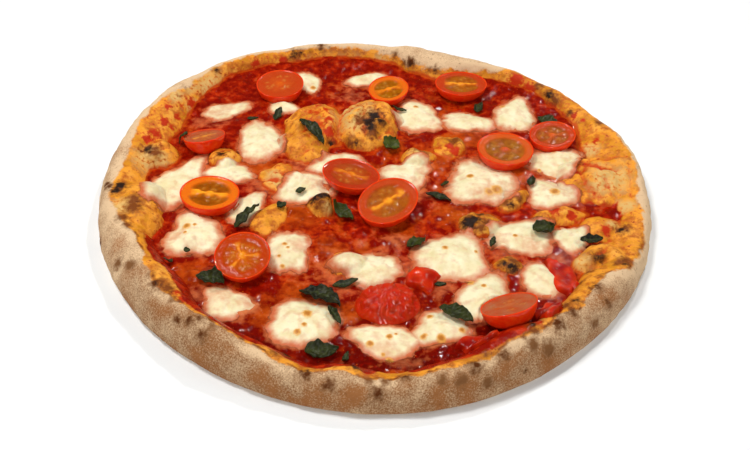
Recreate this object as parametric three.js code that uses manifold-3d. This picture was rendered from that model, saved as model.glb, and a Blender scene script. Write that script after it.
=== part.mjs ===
/**
 * Margherita pizza, 300 mm across: a puffed rim round a thin base with blisters in it,
 * tomato sauce, melted mozzarella, roasted cherry tomato halves and basil leaves.
 *
 * Millimetres, +Z up, origin under the middle of the pizza. A bearing is in degrees,
 * anticlockwise seen from above, with +X at 0. An inset is measured inwards from the
 * outline. Every soft layer is worked out from height functions over the plan.
 */
import * as THREE from 'three';
import Module from 'manifold-3d';

const wasm = await Module();
wasm.setup();

// ---------------------------------------------------------------- driving dimensions

const RADIUS = 150;            // mean outline radius
const OUTLINE_WAVES = [        // hand-stretched outline: [waves round, cosine, sine] in mm
  [2, 1.6, -1.6],
  [3, 1.3, 2.9],
  [4, -0.4, 0.8],
];
const OUTLINE_BULGES = [       // its uneven stretches: [bearing, half width in degrees, mm]
  [157, 18, -3.2],
  [276, 22, 1.6],
  [332, 14, 1.6],
];
const RIM_LUMPS = [[9, 0.5, 1], [16, 0.4, 4]];   // crest: [waves round, mm, phase]
const RIPPLES = [              // sauce: [mm, waves along x and y in radians per mm, phase]
  [0.4, 0.09, -0.08, 1.3],
  [0.3, 0.14, 0.14, 0],
  [0.25, 0.11, -0.18, 1.6],
];
const CLIMB = 2.6;             // the sauce climbs this far up the low lip at the back
const BASE = 5;                // thickness of the dough under the sauce
const WAIST = 3;               // height at which the rim is widest
const FOOT_INSET = 2.5;        // the underside touches down this far in
const SAUCE = 8.2;             // mean level of the sauce
const SKIRT = 3;               // level to which blisters and slabs reach into the dough
const GAP = 0.36;              // clearance cut between neighbouring solids
const TRIM = 0.16;             // facets flatter than this are merged
const FACE_ANGLES = [0, 26, 50, 72, 90];   // rings up the rim's outer quarter ellipse
const LIP_SHARES = [0.38, 0.66, 0.86, 1];  // rings down the lip, as shares of its width
const RIM_STEPS = 76;          // points round the rim
const SAUCE_STEP = 14;         // spacing of the sauce's surface points
const CHEESE_EDGE = 1.3;       // thickness of a mozzarella patch at its edge
const CHUNK_EDGE = 2;          // thickness of a torn piece of tomato at its edge
const SKIN_DEPTH = 0.95;       // depth of a tomato half as a share of its half width
const FLESH_WALL = 0.78;       // the flesh wall ends at this share of the cut face
const CHAMBER = 1.5;           // depth of the seed chambers
const LEAF = 0.9;              // thickness of a basil leaf
const STRETCH = 4;             // passes that pull a leaf taut between what it lies on

// The rim by bearing: [bearing, crest height, crest inset, inset where the lip ends].
const RIM = [
  [0, 13.5, 6, 30], [9, 16.5, 7, 32], [19, 16, 7, 31], [28, 14.5, 8, 22], [37, 15, 9, 17],
  [46, 15.5, 9, 15], [53, 17, 8, 15], [61, 17.5, 10, 18], [71, 19.5, 13, 29], [79, 19, 12, 26],
  [86, 16.5, 8, 17], [94, 18, 8, 15], [105, 17.5, 8, 15], [117, 17, 8, 16], [129, 17, 7.5, 14.5],
  [137, 17.5, 7, 18.5], [147, 19.5, 7.5, 23.5], [159, 19, 7, 28], [172, 18, 9, 26],
  [190, 18, 11, 29], [207, 18.5, 15, 27], [220, 19, 14, 29], [234, 19, 12, 23],
  [247, 17, 12.5, 23.5], [259, 13.5, 9, 22], [266, 17, 12.5, 23.5], [275, 13.5, 8.5, 21.5],
  [287, 16, 11.5, 23.5], [298, 21, 16, 27], [310, 19, 12.5, 22.5], [323, 17, 13, 26],
  [333, 14.5, 7.5, 29.5], [344, 13, 7, 26], [352, 13, 6.5, 21.5],
];

// Blisters in the dough: centre, half sizes, turn of the long one, height of the top.
const BLISTERS = [
  { at: [-36, 50], half: [18, 32], turn: -8, top: 18 },
  { at: [-4, 58], half: [20, 25], turn: -10, top: 20 },
  { at: [-27, -19], half: [8, 9], turn: 0, top: 15.5 },
  { at: [-53, -29], half: [10, 15], turn: -20, top: 12.5 },
  { at: [57, -30], half: [13, 11], turn: 20, top: 14 },
  { at: [78, -9], half: [15, 6], turn: 55, top: 12.5 },
  { at: [101, -21], half: [17, 7], turn: 10, top: 12.5 },
  { at: [70, -61], half: [10, 7], turn: -10, top: 12.5 },
  { at: [26, 28], half: [11, 10], turn: 0, top: 14 },
  { at: [44, 40], half: [12, 13], turn: 0, top: 12.5 },
  { at: [124, 11], half: [21, 22], turn: 0, top: 16.5 },
  { at: [120, -31], half: [14, 10], turn: 15, top: 13.5 },
  { at: [118, -54], half: [17, 9], turn: 28, top: 15.5 },
  { at: [-12, -63], half: [11, 11], turn: 0, top: 12.5 },
  { at: [-52, 7], half: [13, 15], turn: 20, top: 12.5 },
  { at: [-124, 24], half: [14, 13], turn: 40, top: 17 },
  { at: [-125, -27], half: [16, 27], turn: 8, top: 19.5 },
  { at: [-84, 22], half: [11, 12], turn: 0, top: 13.5 },
];

// Cherry tomato halves: middle of the cut face, its height, half length and half width,
// turn of its length, tilt and the bearing that the face then leans to, and how many
// seed chambers the cut opens.
const TOMATOES = [
  { at: [-59, 92], rise: 15.5, half: [14.5, 14], turn: 10, tilt: 4, to: 260, chambers: 3 },
  { at: [-97.5, 35], rise: 15.5, half: [12, 11.5], turn: 30, tilt: 18, to: 112, chambers: 2 },
  { at: [8, 89], rise: 16, half: [12.5, 11.5], turn: 24, tilt: 8, to: 255, chambers: 2 },
  { at: [53, 97], rise: 16, half: [16, 12.5], turn: 0, tilt: 2, to: 270, chambers: 2 },
  { at: [104, 46], rise: 15, half: [13.5, 11.5], turn: 8, tilt: 6, to: 250, chambers: 3 },
  { at: [75, 29.5], rise: 16, half: [16, 14], turn: -8, tilt: 4, to: 265, chambers: 3 },
  { at: [-87, -17], rise: 15.5, half: [16, 13.5], turn: -6, tilt: 3, to: 270, chambers: 2 },
  { at: [-12, 1], rise: 17, half: [16.5, 12], turn: -24, tilt: 3, to: 250, chambers: 2 },
  { at: [8.5, -21.5], rise: 17, half: [17.5, 14], turn: 42, tilt: 12, to: 270, chambers: 2 },
  { at: [-63.5, -67], rise: 16.5, half: [14, 14], turn: 0, tilt: 14, to: 265, chambers: 3 },
  { at: [9, -91], rise: 6, half: [16.5, 13.5], turn: 5, tilt: 0, to: 0, chambers: 0 },
  { at: [66, -98], rise: 18, half: [14, 12.5], turn: 25, tilt: 27, to: 122, chambers: 2 },
];

// Torn pieces of tomato: centre, half sizes, turn, and height above the sauce.
const CHUNKS = [
  { at: [26.5, -73], half: [8.5, 8.5], turn: 10, height: 4 },
  { at: [85, -97], half: [6, 10], turn: -25, height: 5 },
  { at: [96, -69], half: [7.5, 13], turn: 14, height: 4 },
  { at: [51, -116.5], half: [10.5, 6], turn: 12, height: 4 },
];

// Mozzarella patches: centre, half sizes, turn, height at the middle, and the waves of
// the melted outline as [waves round, share of the radius, bearing of the first bulge].
const CHEESE = [
  { at: [-5, 110], half: [13, 8], turn: 14, height: 3.4, waves: [[2, 0.1, 20], [3, 0.08, 60]] },
  { at: [-42, 104], half: [7, 12], turn: 20, height: 2, waves: [[3, 0.1, 20]] },
  { at: [-56, 76], half: [9, 8.5], turn: -20, height: 3, waves: [[3, 0.12, 10]] },
  { at: [26, 69], half: [14, 16], turn: 30, height: 3.2, waves: [[3, 0.12, 60], [5, 0.05, 10]] },
  { at: [85, 73], half: [11.5, 18], turn: -12, height: 3.4, waves: [[2, 0.06, 0], [3, 0.1, 90]] },
  { at: [55, 65], half: [16, 10], turn: -6, height: 2.6, waves: [[3, 0.12, 0]] },
  { at: [-66, 40], half: [13, 20], turn: 10, height: 4, waves: [[2, 0.05, 40], [3, 0.08, 100]] },
  { at: [-90, 71], half: [15, 8], turn: 30, height: 2, waves: [[3, 0.12, 0], [5, 0.06, 30]] },
  { at: [-108, -3], half: [12, 26], turn: -22, height: 3.6, waves: [[3, 0.1, 90], [4, 0.07, 0]] },
  { at: [-92, -44], half: [14, 17], turn: 8, height: 3.4, waves: [[3, 0.14, 95], [4, 0.08, 20]] },
  { at: [-80, 9], half: [14, 8.5], turn: -8, height: 2.6, waves: [[3, 0.12, 200]] },
  { at: [-67, -21], half: [8, 14], turn: -24, height: 3, waves: [[3, 0.1, 90]] },
  { at: [-36, -3], half: [16, 13], turn: 26, height: 3.4, waves: [[3, 0.12, 190], [4, 0.06, 0]] },
  { at: [-18, 19], half: [18, 9], turn: 4, height: 3.4, waves: [[2, 0.06, 90], [3, 0.14, 200]] },
  { at: [18, 12], half: [15, 12], turn: 18, height: 3.2, waves: [[3, 0.12, 150], [4, 0.05, 30]] },
  { at: [60, 6.5], half: [19, 20], turn: 20, height: 3.8, waves: [[3, 0.1, 200], [4, 0.06, 10]] },
  { at: [103, 26], half: [16, 15], turn: 24, height: 3, waves: [[3, 0.16, 20], [4, 0.06, 0]] },
  { at: [98, -2], half: [13, 12.5], turn: 0, height: 3.2, waves: [[3, 0.12, 230]] },
  { at: [78, -39], half: [18, 13], turn: 6, height: 3.4, waves: [[3, 0.1, 170], [4, 0.06, 40]] },
  { at: [104, -40], half: [9, 10.5], turn: 0, height: 3, waves: [[3, 0.12, 150]] },
  { at: [41, -57], half: [19, 17], turn: 24, height: 4, waves: [[3, 0.08, 170], [4, 0.06, 30]] },
  { at: [56, -86], half: [13, 17], turn: -24, height: 4, waves: [[3, 0.1, 100], [4, 0.05, 0]] },
  { at: [87, -71], half: [12, 12], turn: 0, height: 3, waves: [[3, 0.1, 130], [4, 0.06, 20]] },
  { at: [-42.5, -55], half: [11, 16], turn: 6, height: 3.2, waves: [[4, 0.1, 40]] },
  { at: [-31, -105], half: [17, 15], turn: 6, height: 4.2, waves: [[3, 0.06, 0], [4, 0.05, 30]] },
  { at: [8, -114.5], half: [16, 10.5], turn: -8, height: 3.4, waves: [[3, 0.1, 160], [4, 0.05, 0]] },
  { at: [34, -106], half: [14, 11], turn: 24, height: 3.6, waves: [[3, 0.1, 200]] },
  { at: [-1, -66], half: [17, 12], turn: -8, height: 2.6, waves: [[3, 0.14, 170], [4, 0.1, 0]] },
  { at: [-68, -93], half: [13, 10], turn: -18, height: 2.4, waves: [[3, 0.14, 20]] },
];

// Basil leaves: centre, half length and half width, turn, rise of the curled midrib and
// bend of the leaf sideways, all in mm and degrees.
const BASIL = [
  { at: [-36, 38], half: [12, 3.6], turn: -52, curl: 1.4, bend: 2 },
  { at: [10.5, 37.5], half: [5.6, 5.2], turn: 60, curl: 1.2, bend: 0 },
  { at: [-65.5, -31], half: [10, 3], turn: 56, curl: 1.6, bend: 1 },
  { at: [-14.5, -24], half: [7.4, 4.4], turn: -52, curl: 1.4, bend: -1 },
  { at: [23.5, -48], half: [6, 4], turn: 40, curl: 1.4, bend: 0 },
  { at: [36, -8.5], half: [7.5, 2.4], turn: -24, curl: 1, bend: 1 },
  { at: [-78, -80.5], half: [8, 4], turn: -22, curl: 1.4, bend: 1.5 },
  { at: [-24, -90], half: [11.5, 6], turn: -28, curl: 1.8, bend: 3 },
  { at: [-21, -122.5], half: [8, 4.6], turn: 8, curl: 1.4, bend: -1 },
  { at: [90.5, -35], half: [7, 5.4], turn: 34, curl: 1.6, bend: 0 },
  { at: [41.5, -99.5], half: [9, 5], turn: -30, curl: 1.4, bend: 1 },
  { at: [104, 67], half: [6.4, 5], turn: -30, curl: 1.2, bend: 0 },
  { at: [114, -43.5], half: [6.4, 3], turn: 14, curl: 1, bend: 0 },
];

const FINISHES = {
  dough: { color: 0xb8935f, roughness: 0.85 },
  sauce: { color: 0xb32408, roughness: 0.35 },
  tomato: { color: 0xd03a14, roughness: 0.3 },
  cheese: { color: 0xf3ecc9, roughness: 0.45 },
  basil: { color: 0x2b3a20, roughness: 0.6 },
};

// ---------------------------------------------------------------- small helpers

const TURN = 2 * Math.PI;
const radians = THREE.MathUtils.degToRad;
const { lerp, smoothstep } = THREE.MathUtils;
const sum = (values) => values.reduce((total, value) => total + value, 0);

/** Evenly spaced bearings of a ring, as [cosine, sine, bearing in degrees]. */
function bearings(count) {
  return Array.from({ length: count }, (_, i) => {
    const angle = (TURN * i) / count;
    return [Math.cos(angle), Math.sin(angle), (360 * i) / count];
  });
}

/** Value of column `column` of a ring of stations, eased from each to the next. */
function roundTheRim(stations, column, bearing) {
  const turned = ((bearing % 360) + 360) % 360;
  let next = stations.findIndex((station) => station[0] > turned);
  if (next < 0) next = stations.length;
  const from = stations[(next - 1 + stations.length) % stations.length];
  const to = stations[next % stations.length];
  const start = next === 0 ? from[0] - 360 : from[0];
  const end = next === stations.length ? to[0] + 360 : to[0];
  return lerp(from[column], to[column], smoothstep(turned, start, end));
}

/** Plan point in the frame of a piece: its turn undone and its half sizes divided out. */
function insidePiece({ at, half, turn }, x, y) {
  const angle = radians(turn);
  const [dx, dy] = [x - at[0], y - at[1]];
  const along = dx * Math.cos(angle) + dy * Math.sin(angle);
  const across = dy * Math.cos(angle) - dx * Math.sin(angle);
  return [along / half[0], across / half[1]];
}

/** Plan point of a piece at the share `reach` of its half sizes, `angle` round it. */
function onPiece({ at, half, turn }, reach, angle) {
  const along = half[0] * reach * Math.cos(angle);
  const across = half[1] * reach * Math.sin(angle);
  const turned = radians(turn);
  return [
    at[0] + along * Math.cos(turned) - across * Math.sin(turned),
    at[1] + along * Math.sin(turned) + across * Math.cos(turned),
  ];
}

/** Manifold solid from shared points and triangles. */
function solid(points, triangles) {
  return new wasm.Manifold(new wasm.Mesh({
    numProp: 3,
    vertProperties: new Float32Array(points.flat()),
    triVerts: new Uint32Array(triangles.flat()),
  }));
}

/**
 * Closed solid from a pole below, rings that run anticlockwise seen from above, and a
 * pole above. Neighbouring rings may have different numbers of points.
 */
function solidFromRings(pole, rings, crown) {
  const points = [pole, ...rings.flat(), crown];
  const starts = rings.map((_, k) => 1 + rings.slice(0, k).flat().length);
  const triangles = [];
  const first = rings[0].length;
  for (let i = 0; i < first; i += 1) triangles.push([0, 1 + ((i + 1) % first), 1 + i]);
  for (let k = 1; k < rings.length; k += 1) {
    const [m, n] = [rings[k - 1].length, rings[k].length];
    const [a, b] = [starts[k - 1], starts[k]];
    let [i, j] = [0, 0];
    while (i < m || j < n) {
      if (j >= n || (i < m && (i + 1) * n <= (j + 1) * m)) {
        triangles.push([a + (i % m), a + ((i + 1) % m), b + (j % n)]);
        i += 1;
      } else {
        triangles.push([a + (i % m), b + ((j + 1) % n), b + (j % n)]);
        j += 1;
      }
    }
  }
  const [last, top] = [rings[rings.length - 1].length, points.length - 1];
  const start = starts[starts.length - 1];
  for (let i = 0; i < last; i += 1) triangles.push([top, start + i, start + ((i + 1) % last)]);
  return solid(points, triangles);
}

/** The largest body of a solid, without the scraps that a cut leaves. */
function largestBody(cut) {
  return cut.decompose().reduce((best, body) => (body.volume() > best.volume() ? body : best));
}

// ---------------------------------------------------------------- heights over the plan

/** Outline radius: the mean radius, a few slow waves and bell-shaped bulges. */
function outline(bearing) {
  const angle = radians(bearing);
  const waves = OUTLINE_WAVES.map(([count, cosine, sine]) => (
    cosine * Math.cos(count * angle) + sine * Math.sin(count * angle)));
  const bulges = OUTLINE_BULGES.map(([middle, halfWidth, size]) => {
    const away = (((bearing - middle + 900) % 360) - 180) / halfWidth;
    return size * Math.exp(-0.7 * away * away);
  });
  return RADIUS + sum(waves) + sum(bulges);
}

/** Crest height, crest inset and lip inset of the rim at a bearing. */
function rimAt(bearing) {
  const angle = radians(bearing);
  const lumps = RIM_LUMPS.map(([waves, size, phase]) => size * Math.sin(waves * angle + phase));
  return {
    crest: roundTheRim(RIM, 1, bearing) + sum(lumps),
    crestInset: roundTheRim(RIM, 2, bearing),
    lipInset: roundTheRim(RIM, 3, bearing),
  };
}

/** Inner lip of the rim: a parabola that falls from the crest to the base. */
function lipHeight({ crest, crestInset, lipInset }, inset) {
  const share = (inset - crestInset) / (lipInset - crestInset);
  return BASE + (crest - BASE) * (1 - share * share);
}

/** Blister: the upper half of an ellipsoid standing on the base. */
function blisterHeight(blister, x, y) {
  const [u, v] = insidePiece(blister, x, y);
  return BASE + (blister.top - BASE) * Math.sqrt(Math.max(0, 1 - u * u - v * v));
}

/** Top of the dough over the plan: base, rim and blisters, whichever is highest. */
function doughHeight(x, y) {
  const bearing = THREE.MathUtils.radToDeg(Math.atan2(y, x));
  const inset = outline(bearing) - Math.hypot(x, y);
  const rim = rimAt(bearing);
  const wall = inset < rim.lipInset ? lipHeight(rim, Math.max(inset, rim.crestInset)) : BASE;
  return BLISTERS.reduce((top, blister) => Math.max(top, blisterHeight(blister, x, y)), wall);
}

/** Sauce level: slow ripples, and a climb towards the low lip at the back. */
function sauceHeight(x, y) {
  const ripples = RIPPLES.map(([size, u, v, phase]) => size * Math.sin(u * x + v * y + phase));
  const climb = CLIMB * smoothstep(Math.hypot(x, y), 112, 138) * smoothstep(y, 40, 110);
  return SAUCE + sum(ripples) + climb;
}

/** Surface that toppings lie on. */
function groundHeight(x, y) {
  return Math.max(doughHeight(x, y), sauceHeight(x, y));
}

// ---------------------------------------------------------------- dough and sauce

/** Rim and base: flat underside, rounded foot, bulging outer face, crest and lip. */
function makeBase() {
  const around = bearings(RIM_STEPS);
  const ring = (place) => around.map(([cosine, sine, bearing]) => {
    const [inset, height] = place(rimAt(bearing));
    const radius = outline(bearing) - inset;
    return [radius * cosine, radius * sine, height];
  });
  const outerFace = (angle) => ({ crest, crestInset }) => [
    crestInset * (1 - Math.cos(radians(angle))),
    WAIST + (crest - WAIST) * Math.sin(radians(angle)),
  ];
  const lip = (share) => (rim) => {
    const inset = lerp(rim.crestInset, rim.lipInset, share);
    return [inset, lipHeight(rim, inset)];
  };
  const rings = [
    ring(() => [FOOT_INSET, 0]),
    ring(() => [FOOT_INSET * 0.25, WAIST * 0.4]),
    ...FACE_ANGLES.map((angle) => ring(outerFace(angle))),
    ...LIP_SHARES.map((share) => ring(lip(share))),
  ];
  return solidFromRings([0, 0, 0], rings, [0, 0, BASE]);
}

/** One blister, with a straight skirt that reaches into the dough. */
function makeBlister(blister) {
  const large = Math.max(...blister.half) > 14;
  const steps = large ? 18 : 12;
  const ring = (slope, level) => Array.from({ length: steps }, (_, i) => {
    const angle = (TURN * i) / steps;
    const [x, y] = onPiece(blister, Math.cos(radians(slope)), angle);
    return [x, y, level ?? BASE + (blister.top - BASE) * Math.sin(radians(slope))];
  });
  const [x, y] = blister.at;
  const slopes = large ? [0, 30, 60] : [0, 40];
  const rings = [ring(0, SKIRT), ...slopes.map((slope) => ring(slope))];
  return solidFromRings([x, y, SKIRT], rings, [x, y, blister.top]);
}

/** Slab that fills the dish up to the sauce level and reaches under the crest. */
function makeSauceSlab() {
  const reach = (bearing) => outline(bearing) - rimAt(bearing).crestInset - 1;
  const ringCount = Math.round(RADIUS / SAUCE_STEP);
  const rings = [];
  for (let k = ringCount; k > 0; k -= 1) {
    const share = k / ringCount;
    const steps = Math.max(6, Math.round((TURN * share * RADIUS) / SAUCE_STEP));
    rings.push(bearings(steps).map(([cosine, sine, bearing]) => {
      const radius = share * reach(bearing);
      const [x, y] = [radius * cosine, radius * sine];
      return [x, y, sauceHeight(x, y)];
    }));
  }
  const skirt = rings[0].map(([x, y]) => [x, y, SKIRT]);
  return solidFromRings([0, 0, SKIRT], [skirt, ...rings], [0, 0, sauceHeight(0, 0)]);
}

// ---------------------------------------------------------------- toppings

/**
 * Cherry tomato half: a half ellipsoid of skin under a cut face with sunk seed chambers
 * between walls. With no chambers the half lies on its cut face, skin up.
 */
function makeTomato({ at, rise, half, turn, tilt, to, chambers }, grow = 0) {
  const steps = 16;
  const [length, width] = [half[0] + grow, half[1] + grow];
  const depth = SKIN_DEPTH * half[1] + grow;
  const plain = { at: [0, 0], half: [length, width], turn };
  const ring = (reach, height) => Array.from({ length: steps }, (_, i) => {
    const angle = (TURN * i) / steps;
    const [x, y] = onPiece(plain, reach, angle);
    return [x, y, typeof height === 'function' ? height(angle) : height];
  });
  const skin = [66, 30].map((slope) => (
    ring(Math.cos(radians(slope)), -depth * Math.sin(radians(slope)))));
  let shape;
  if (chambers > 0) {
    const septum = (angle) => Math.abs(Math.sin((chambers * angle) / 2)) ** 0.6;
    const floor = ring(0.5, (angle) => grow - CHAMBER * septum(angle));
    const face = [ring(1, grow), ring(FLESH_WALL, grow), floor];
    shape = solidFromRings([0, 0, -depth], [...skin, ...face], [0, 0, grow]);
  } else {
    const dome = skin.reverse().map((points) => points.map(([x, y, z]) => [x, y, -z]));
    shape = solidFromRings([0, 0, -grow], [ring(1, -grow), ...dome], [0, 0, depth]);
  }
  const axis = new THREE.Vector3(-Math.sin(radians(to)), Math.cos(radians(to)), 0);
  const lean = new THREE.Matrix4().makeRotationAxis(axis, radians(tilt));
  const place = new THREE.Matrix4().makeTranslation(at[0], at[1], rise).multiply(lean);
  return shape.transform(place.elements);
}

/** Domed patch on the ground, thin at its wavy edge and reaching down to the skirt. */
function makePatch({ at, half, turn, height, waves = [] }, edge, grow = 0) {
  const size = Math.max(...half);
  const steps = size > 14 ? 15 : 11;
  const reachAt = (angle) => waves.reduce(
    (reach, [count, share, bulge]) => reach + share * Math.cos(count * (angle - radians(bulge))),
    1 + grow / Math.min(...half),
  );
  const ring = (share, level) => Array.from({ length: steps }, (_, i) => {
    const angle = (TURN * i) / steps;
    const [x, y] = onPiece({ at, half, turn }, share * reachAt(angle), angle);
    const thickness = edge + (height - edge) * (1 - share ** 3) + grow;
    return [x, y, level ?? groundHeight(x, y) + thickness];
  });
  const crown = [at[0], at[1], groundHeight(...at) + height + grow];
  const rings = [ring(1, SKIRT), ring(1), ring(0.65)];
  return solidFromRings([at[0], at[1], SKIRT], rings, crown);
}

/** Height of the highest triangle over a plan point, or minus infinity where none is. */
function topOf(meshes, x, y) {
  let top = -Infinity;
  for (const { points, triangles } of meshes) {
    for (let t = 0; t < triangles.length; t += 3) {
      const [a, b, c] = [0, 1, 2].map((k) => 3 * triangles[t + k]);
      const [ax, ay] = [points[a] - x, points[a + 1] - y];
      const [bx, by] = [points[b] - x, points[b + 1] - y];
      const [cx, cy] = [points[c] - x, points[c + 1] - y];
      const [wa, wb, wc] = [bx * cy - by * cx, cx * ay - cy * ax, ax * by - ay * bx];
      if (wa < 0 || wb < 0 || wc < 0 || wa + wb + wc <= 0) continue;
      const height = wa * points[a + 2] + wb * points[b + 2] + wc * points[c + 2];
      top = Math.max(top, height / (wa + wb + wc));
    }
  }
  return top;
}

/** Triangles of the solids that come near a piece, as plain arrays. */
function meshesNear(solids, [x, y], reach) {
  return solids.filter((body) => {
    const { min, max } = body.boundingBox();
    return min[0] < x + reach && max[0] > x - reach && min[1] < y + reach && max[1] > y - reach;
  }).map((body) => {
    const mesh = body.getMesh();
    return { points: mesh.vertProperties, triangles: mesh.triVerts };
  });
}

/**
 * Basil leaf: a pointed oval grid, the same above and below, that lies on whatever is
 * under it, bends sideways along its length and curls up along its midrib.
 */
function makeLeaf({ at, half, turn, curl, bend }, solids) {
  const [rows, columns] = [5, 3];
  const meshes = meshesNear(solids, at, half[0] + half[1]);
  const plan = [];
  for (let i = 0; i <= rows; i += 1) {
    const along = lerp(-0.96, 0.96, i / rows);
    const width = (1 - along * along) ** 0.6 * (1 - 0.2 * along);
    for (let j = 0; j <= columns; j += 1) {
      const across = lerp(-1, 1, j / columns);
      const sideways = (across * width * half[1] + bend * (1 - along * along)) / half[1];
      const angle = Math.atan2(sideways, along);
      plan.push([...onPiece({ at, half, turn }, Math.hypot(along, sideways), angle), along, across]);
    }
  }
  const stride = columns + 1;
  const footing = plan.map(([x, y]) => {
    const around = [[0, 0], [1.5, 0], [-1.5, 0], [0, 1.5], [0, -1.5]];
    return Math.max(...around.map(([dx, dy]) => topOf(meshes, x + dx, y + dy)));
  });
  for (let pass = 0; pass < STRETCH; pass += 1) {
    const before = [...footing];
    before.forEach((level, k) => {
      const beside = [k - stride, k + stride, k % stride ? k - 1 : k, (k + 1) % stride ? k + 1 : k];
      const levels = beside.map((other) => before[other] ?? level);
      footing[k] = Math.max(level, sum(levels) / levels.length);
    });
  }
  const lower = plan.map(([x, y, along, across], k) => {
    const wave = curl * (0.5 * across * across + 0.35 * (1 + Math.sin(4 * along + 2 * across)));
    return [x, y, footing[k] + GAP + 0.5 + wave];
  });
  const upper = lower.map(([x, y, z]) => [x, y, z + LEAF]);
  const count = plan.length;
  const triangles = [];
  for (let i = 0; i < rows; i += 1) {
    for (let j = 0; j < columns; j += 1) {
      const [a, b] = [i * stride + j, (i + 1) * stride + j];
      triangles.push([a, a + 1, b], [b, a + 1, b + 1]);
      triangles.push([count + a, count + b, count + a + 1], [count + b, count + b + 1, count + a + 1]);
    }
  }
  const border = [];
  for (let i = 0; i < rows; i += 1) border.push(i * stride);
  for (let j = 0; j < columns; j += 1) border.push(rows * stride + j);
  for (let i = rows; i > 0; i -= 1) border.push(i * stride + columns);
  for (let j = columns; j > 0; j -= 1) border.push(j);
  border.forEach((a, k) => {
    const b = border[(k + 1) % border.length];
    triangles.push([a, b, count + a], [b, count + b, count + a]);
  });
  return solid([...lower, ...upper], triangles);
}

// ---------------------------------------------------------------- assembly

const pizza = new THREE.Group();

/** Adds a solid to the pizza as a named mesh with its own material. */
function addNode(name, body, finish) {
  const { vertProperties, triVerts } = body.simplify(TRIM).getMesh();
  const geometry = new THREE.BufferGeometry();
  geometry.setAttribute('position', new THREE.BufferAttribute(vertProperties, 3));
  geometry.setIndex(new THREE.BufferAttribute(triVerts, 1));
  geometry.computeVertexNormals();
  const material = new THREE.MeshStandardMaterial({ ...FINISHES[finish], metalness: 0 });
  const mesh = new THREE.Mesh(geometry, material);
  mesh.name = name;
  pizza.add(mesh);
}

/** Two-figure number of the piece at a place in its list, from 01. */
function numbered(name, index) {
  return `${name}_${String(index + 1).padStart(2, '0')}`;
}

const crust = BLISTERS.reduce((dough, blister) => dough.add(makeBlister(blister)), makeBase());
const slab = makeSauceSlab();
const sauce = largestBody(slab.subtract(crust.translate(0, 0, GAP)));
const ground = slab.add(crust).translate(0, 0, GAP);
addNode('crust', crust, 'dough');
addNode('sauce', sauce, 'sauce');

const laid = [crust, sauce];

/** Trims a topping to the ground and its neighbours, keeps it and adds its node. */
function lay(name, shape, finish, neighbours) {
  const cut = neighbours.reduce((left, body) => left.subtract(body), shape.subtract(ground));
  const body = largestBody(cut);
  laid.push(body);
  addNode(name, body, finish);
}

const tomatoKeepouts = TOMATOES.map((tomato) => makeTomato(tomato, GAP));
TOMATOES.forEach((tomato, i) => {
  lay(numbered('tomato', i), makeTomato(tomato), 'tomato', tomatoKeepouts.slice(0, i));
});

const chunkKeepouts = CHUNKS.map((chunk) => makePatch(chunk, CHUNK_EDGE, GAP));
CHUNKS.forEach((chunk, i) => {
  const neighbours = [...tomatoKeepouts, ...chunkKeepouts.slice(0, i)];
  lay(numbered('tomato_chunk', i), makePatch(chunk, CHUNK_EDGE), 'tomato', neighbours);
});

const cheeseKeepouts = CHEESE.map((patch) => makePatch(patch, CHEESE_EDGE, GAP));
CHEESE.forEach((patch, i) => {
  const neighbours = [...tomatoKeepouts, ...chunkKeepouts, ...cheeseKeepouts.slice(0, i)];
  lay(numbered('mozzarella', i), makePatch(patch, CHEESE_EDGE), 'cheese', neighbours);
});

BASIL.forEach((leaf, i) => {
  addNode(numbered('basil', i), makeLeaf(leaf, laid), 'basil');
});

const { min, max } = crust.boundingBox();
pizza.position.set(-(min[0] + max[0]) / 2, -(min[1] + max[1]) / 2, -min[2]);

export default pizza;
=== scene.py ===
"""Margherita pizza, 300 mm across: the finish of its dough, sauce, cheese, tomatoes and basil.

Shapes are worked out in millimetres over the plan of the pizza, whose middle is at 0, 0 and whose
floor is at height 0. A bearing is in radians, anticlockwise seen from above, with +X at 0. An
inset is measured inwards from the outline. The sizes are those of the solids in the frame.
"""

import itertools

import bpy
import numpy as np
from bpy.props import FloatProperty, FloatVectorProperty, PointerProperty
from mathutils import Matrix, Vector


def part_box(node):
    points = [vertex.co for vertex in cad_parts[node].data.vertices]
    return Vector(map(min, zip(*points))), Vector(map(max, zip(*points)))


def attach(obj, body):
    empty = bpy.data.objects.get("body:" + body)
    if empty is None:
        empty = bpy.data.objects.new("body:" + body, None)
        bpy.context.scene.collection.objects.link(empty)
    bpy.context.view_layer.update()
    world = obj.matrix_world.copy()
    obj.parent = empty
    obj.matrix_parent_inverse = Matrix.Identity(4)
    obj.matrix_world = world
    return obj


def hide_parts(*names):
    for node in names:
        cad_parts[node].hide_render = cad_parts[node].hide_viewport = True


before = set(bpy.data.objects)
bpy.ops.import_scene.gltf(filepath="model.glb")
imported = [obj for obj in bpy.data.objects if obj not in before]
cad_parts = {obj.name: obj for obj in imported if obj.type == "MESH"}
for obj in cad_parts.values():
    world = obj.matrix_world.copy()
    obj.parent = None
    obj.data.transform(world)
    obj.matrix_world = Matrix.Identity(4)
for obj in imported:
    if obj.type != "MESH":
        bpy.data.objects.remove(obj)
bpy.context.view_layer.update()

bl_info = {
    "name": "Margherita pizza",
    "version": (1, 0, 0),
    "blender": (4, 5, 0),
    "location": "3D View > Sidebar > Pizza",
    "description": "Makes the baked dough, sauce, cheese, tomatoes and basil of a margherita",
    "category": "Add Mesh",
}

# ------------------------------------------------------------------ sizes of the solids, in mm

MM = 0.001                     # millimetres to metres
RADIUS = 150                   # mean outline radius
OUTLINE_WAVES = [(2, 1.6, -1.6), (3, 1.3, 2.9), (4, -0.4, 0.8)]   # waves round, cosine, sine
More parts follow.
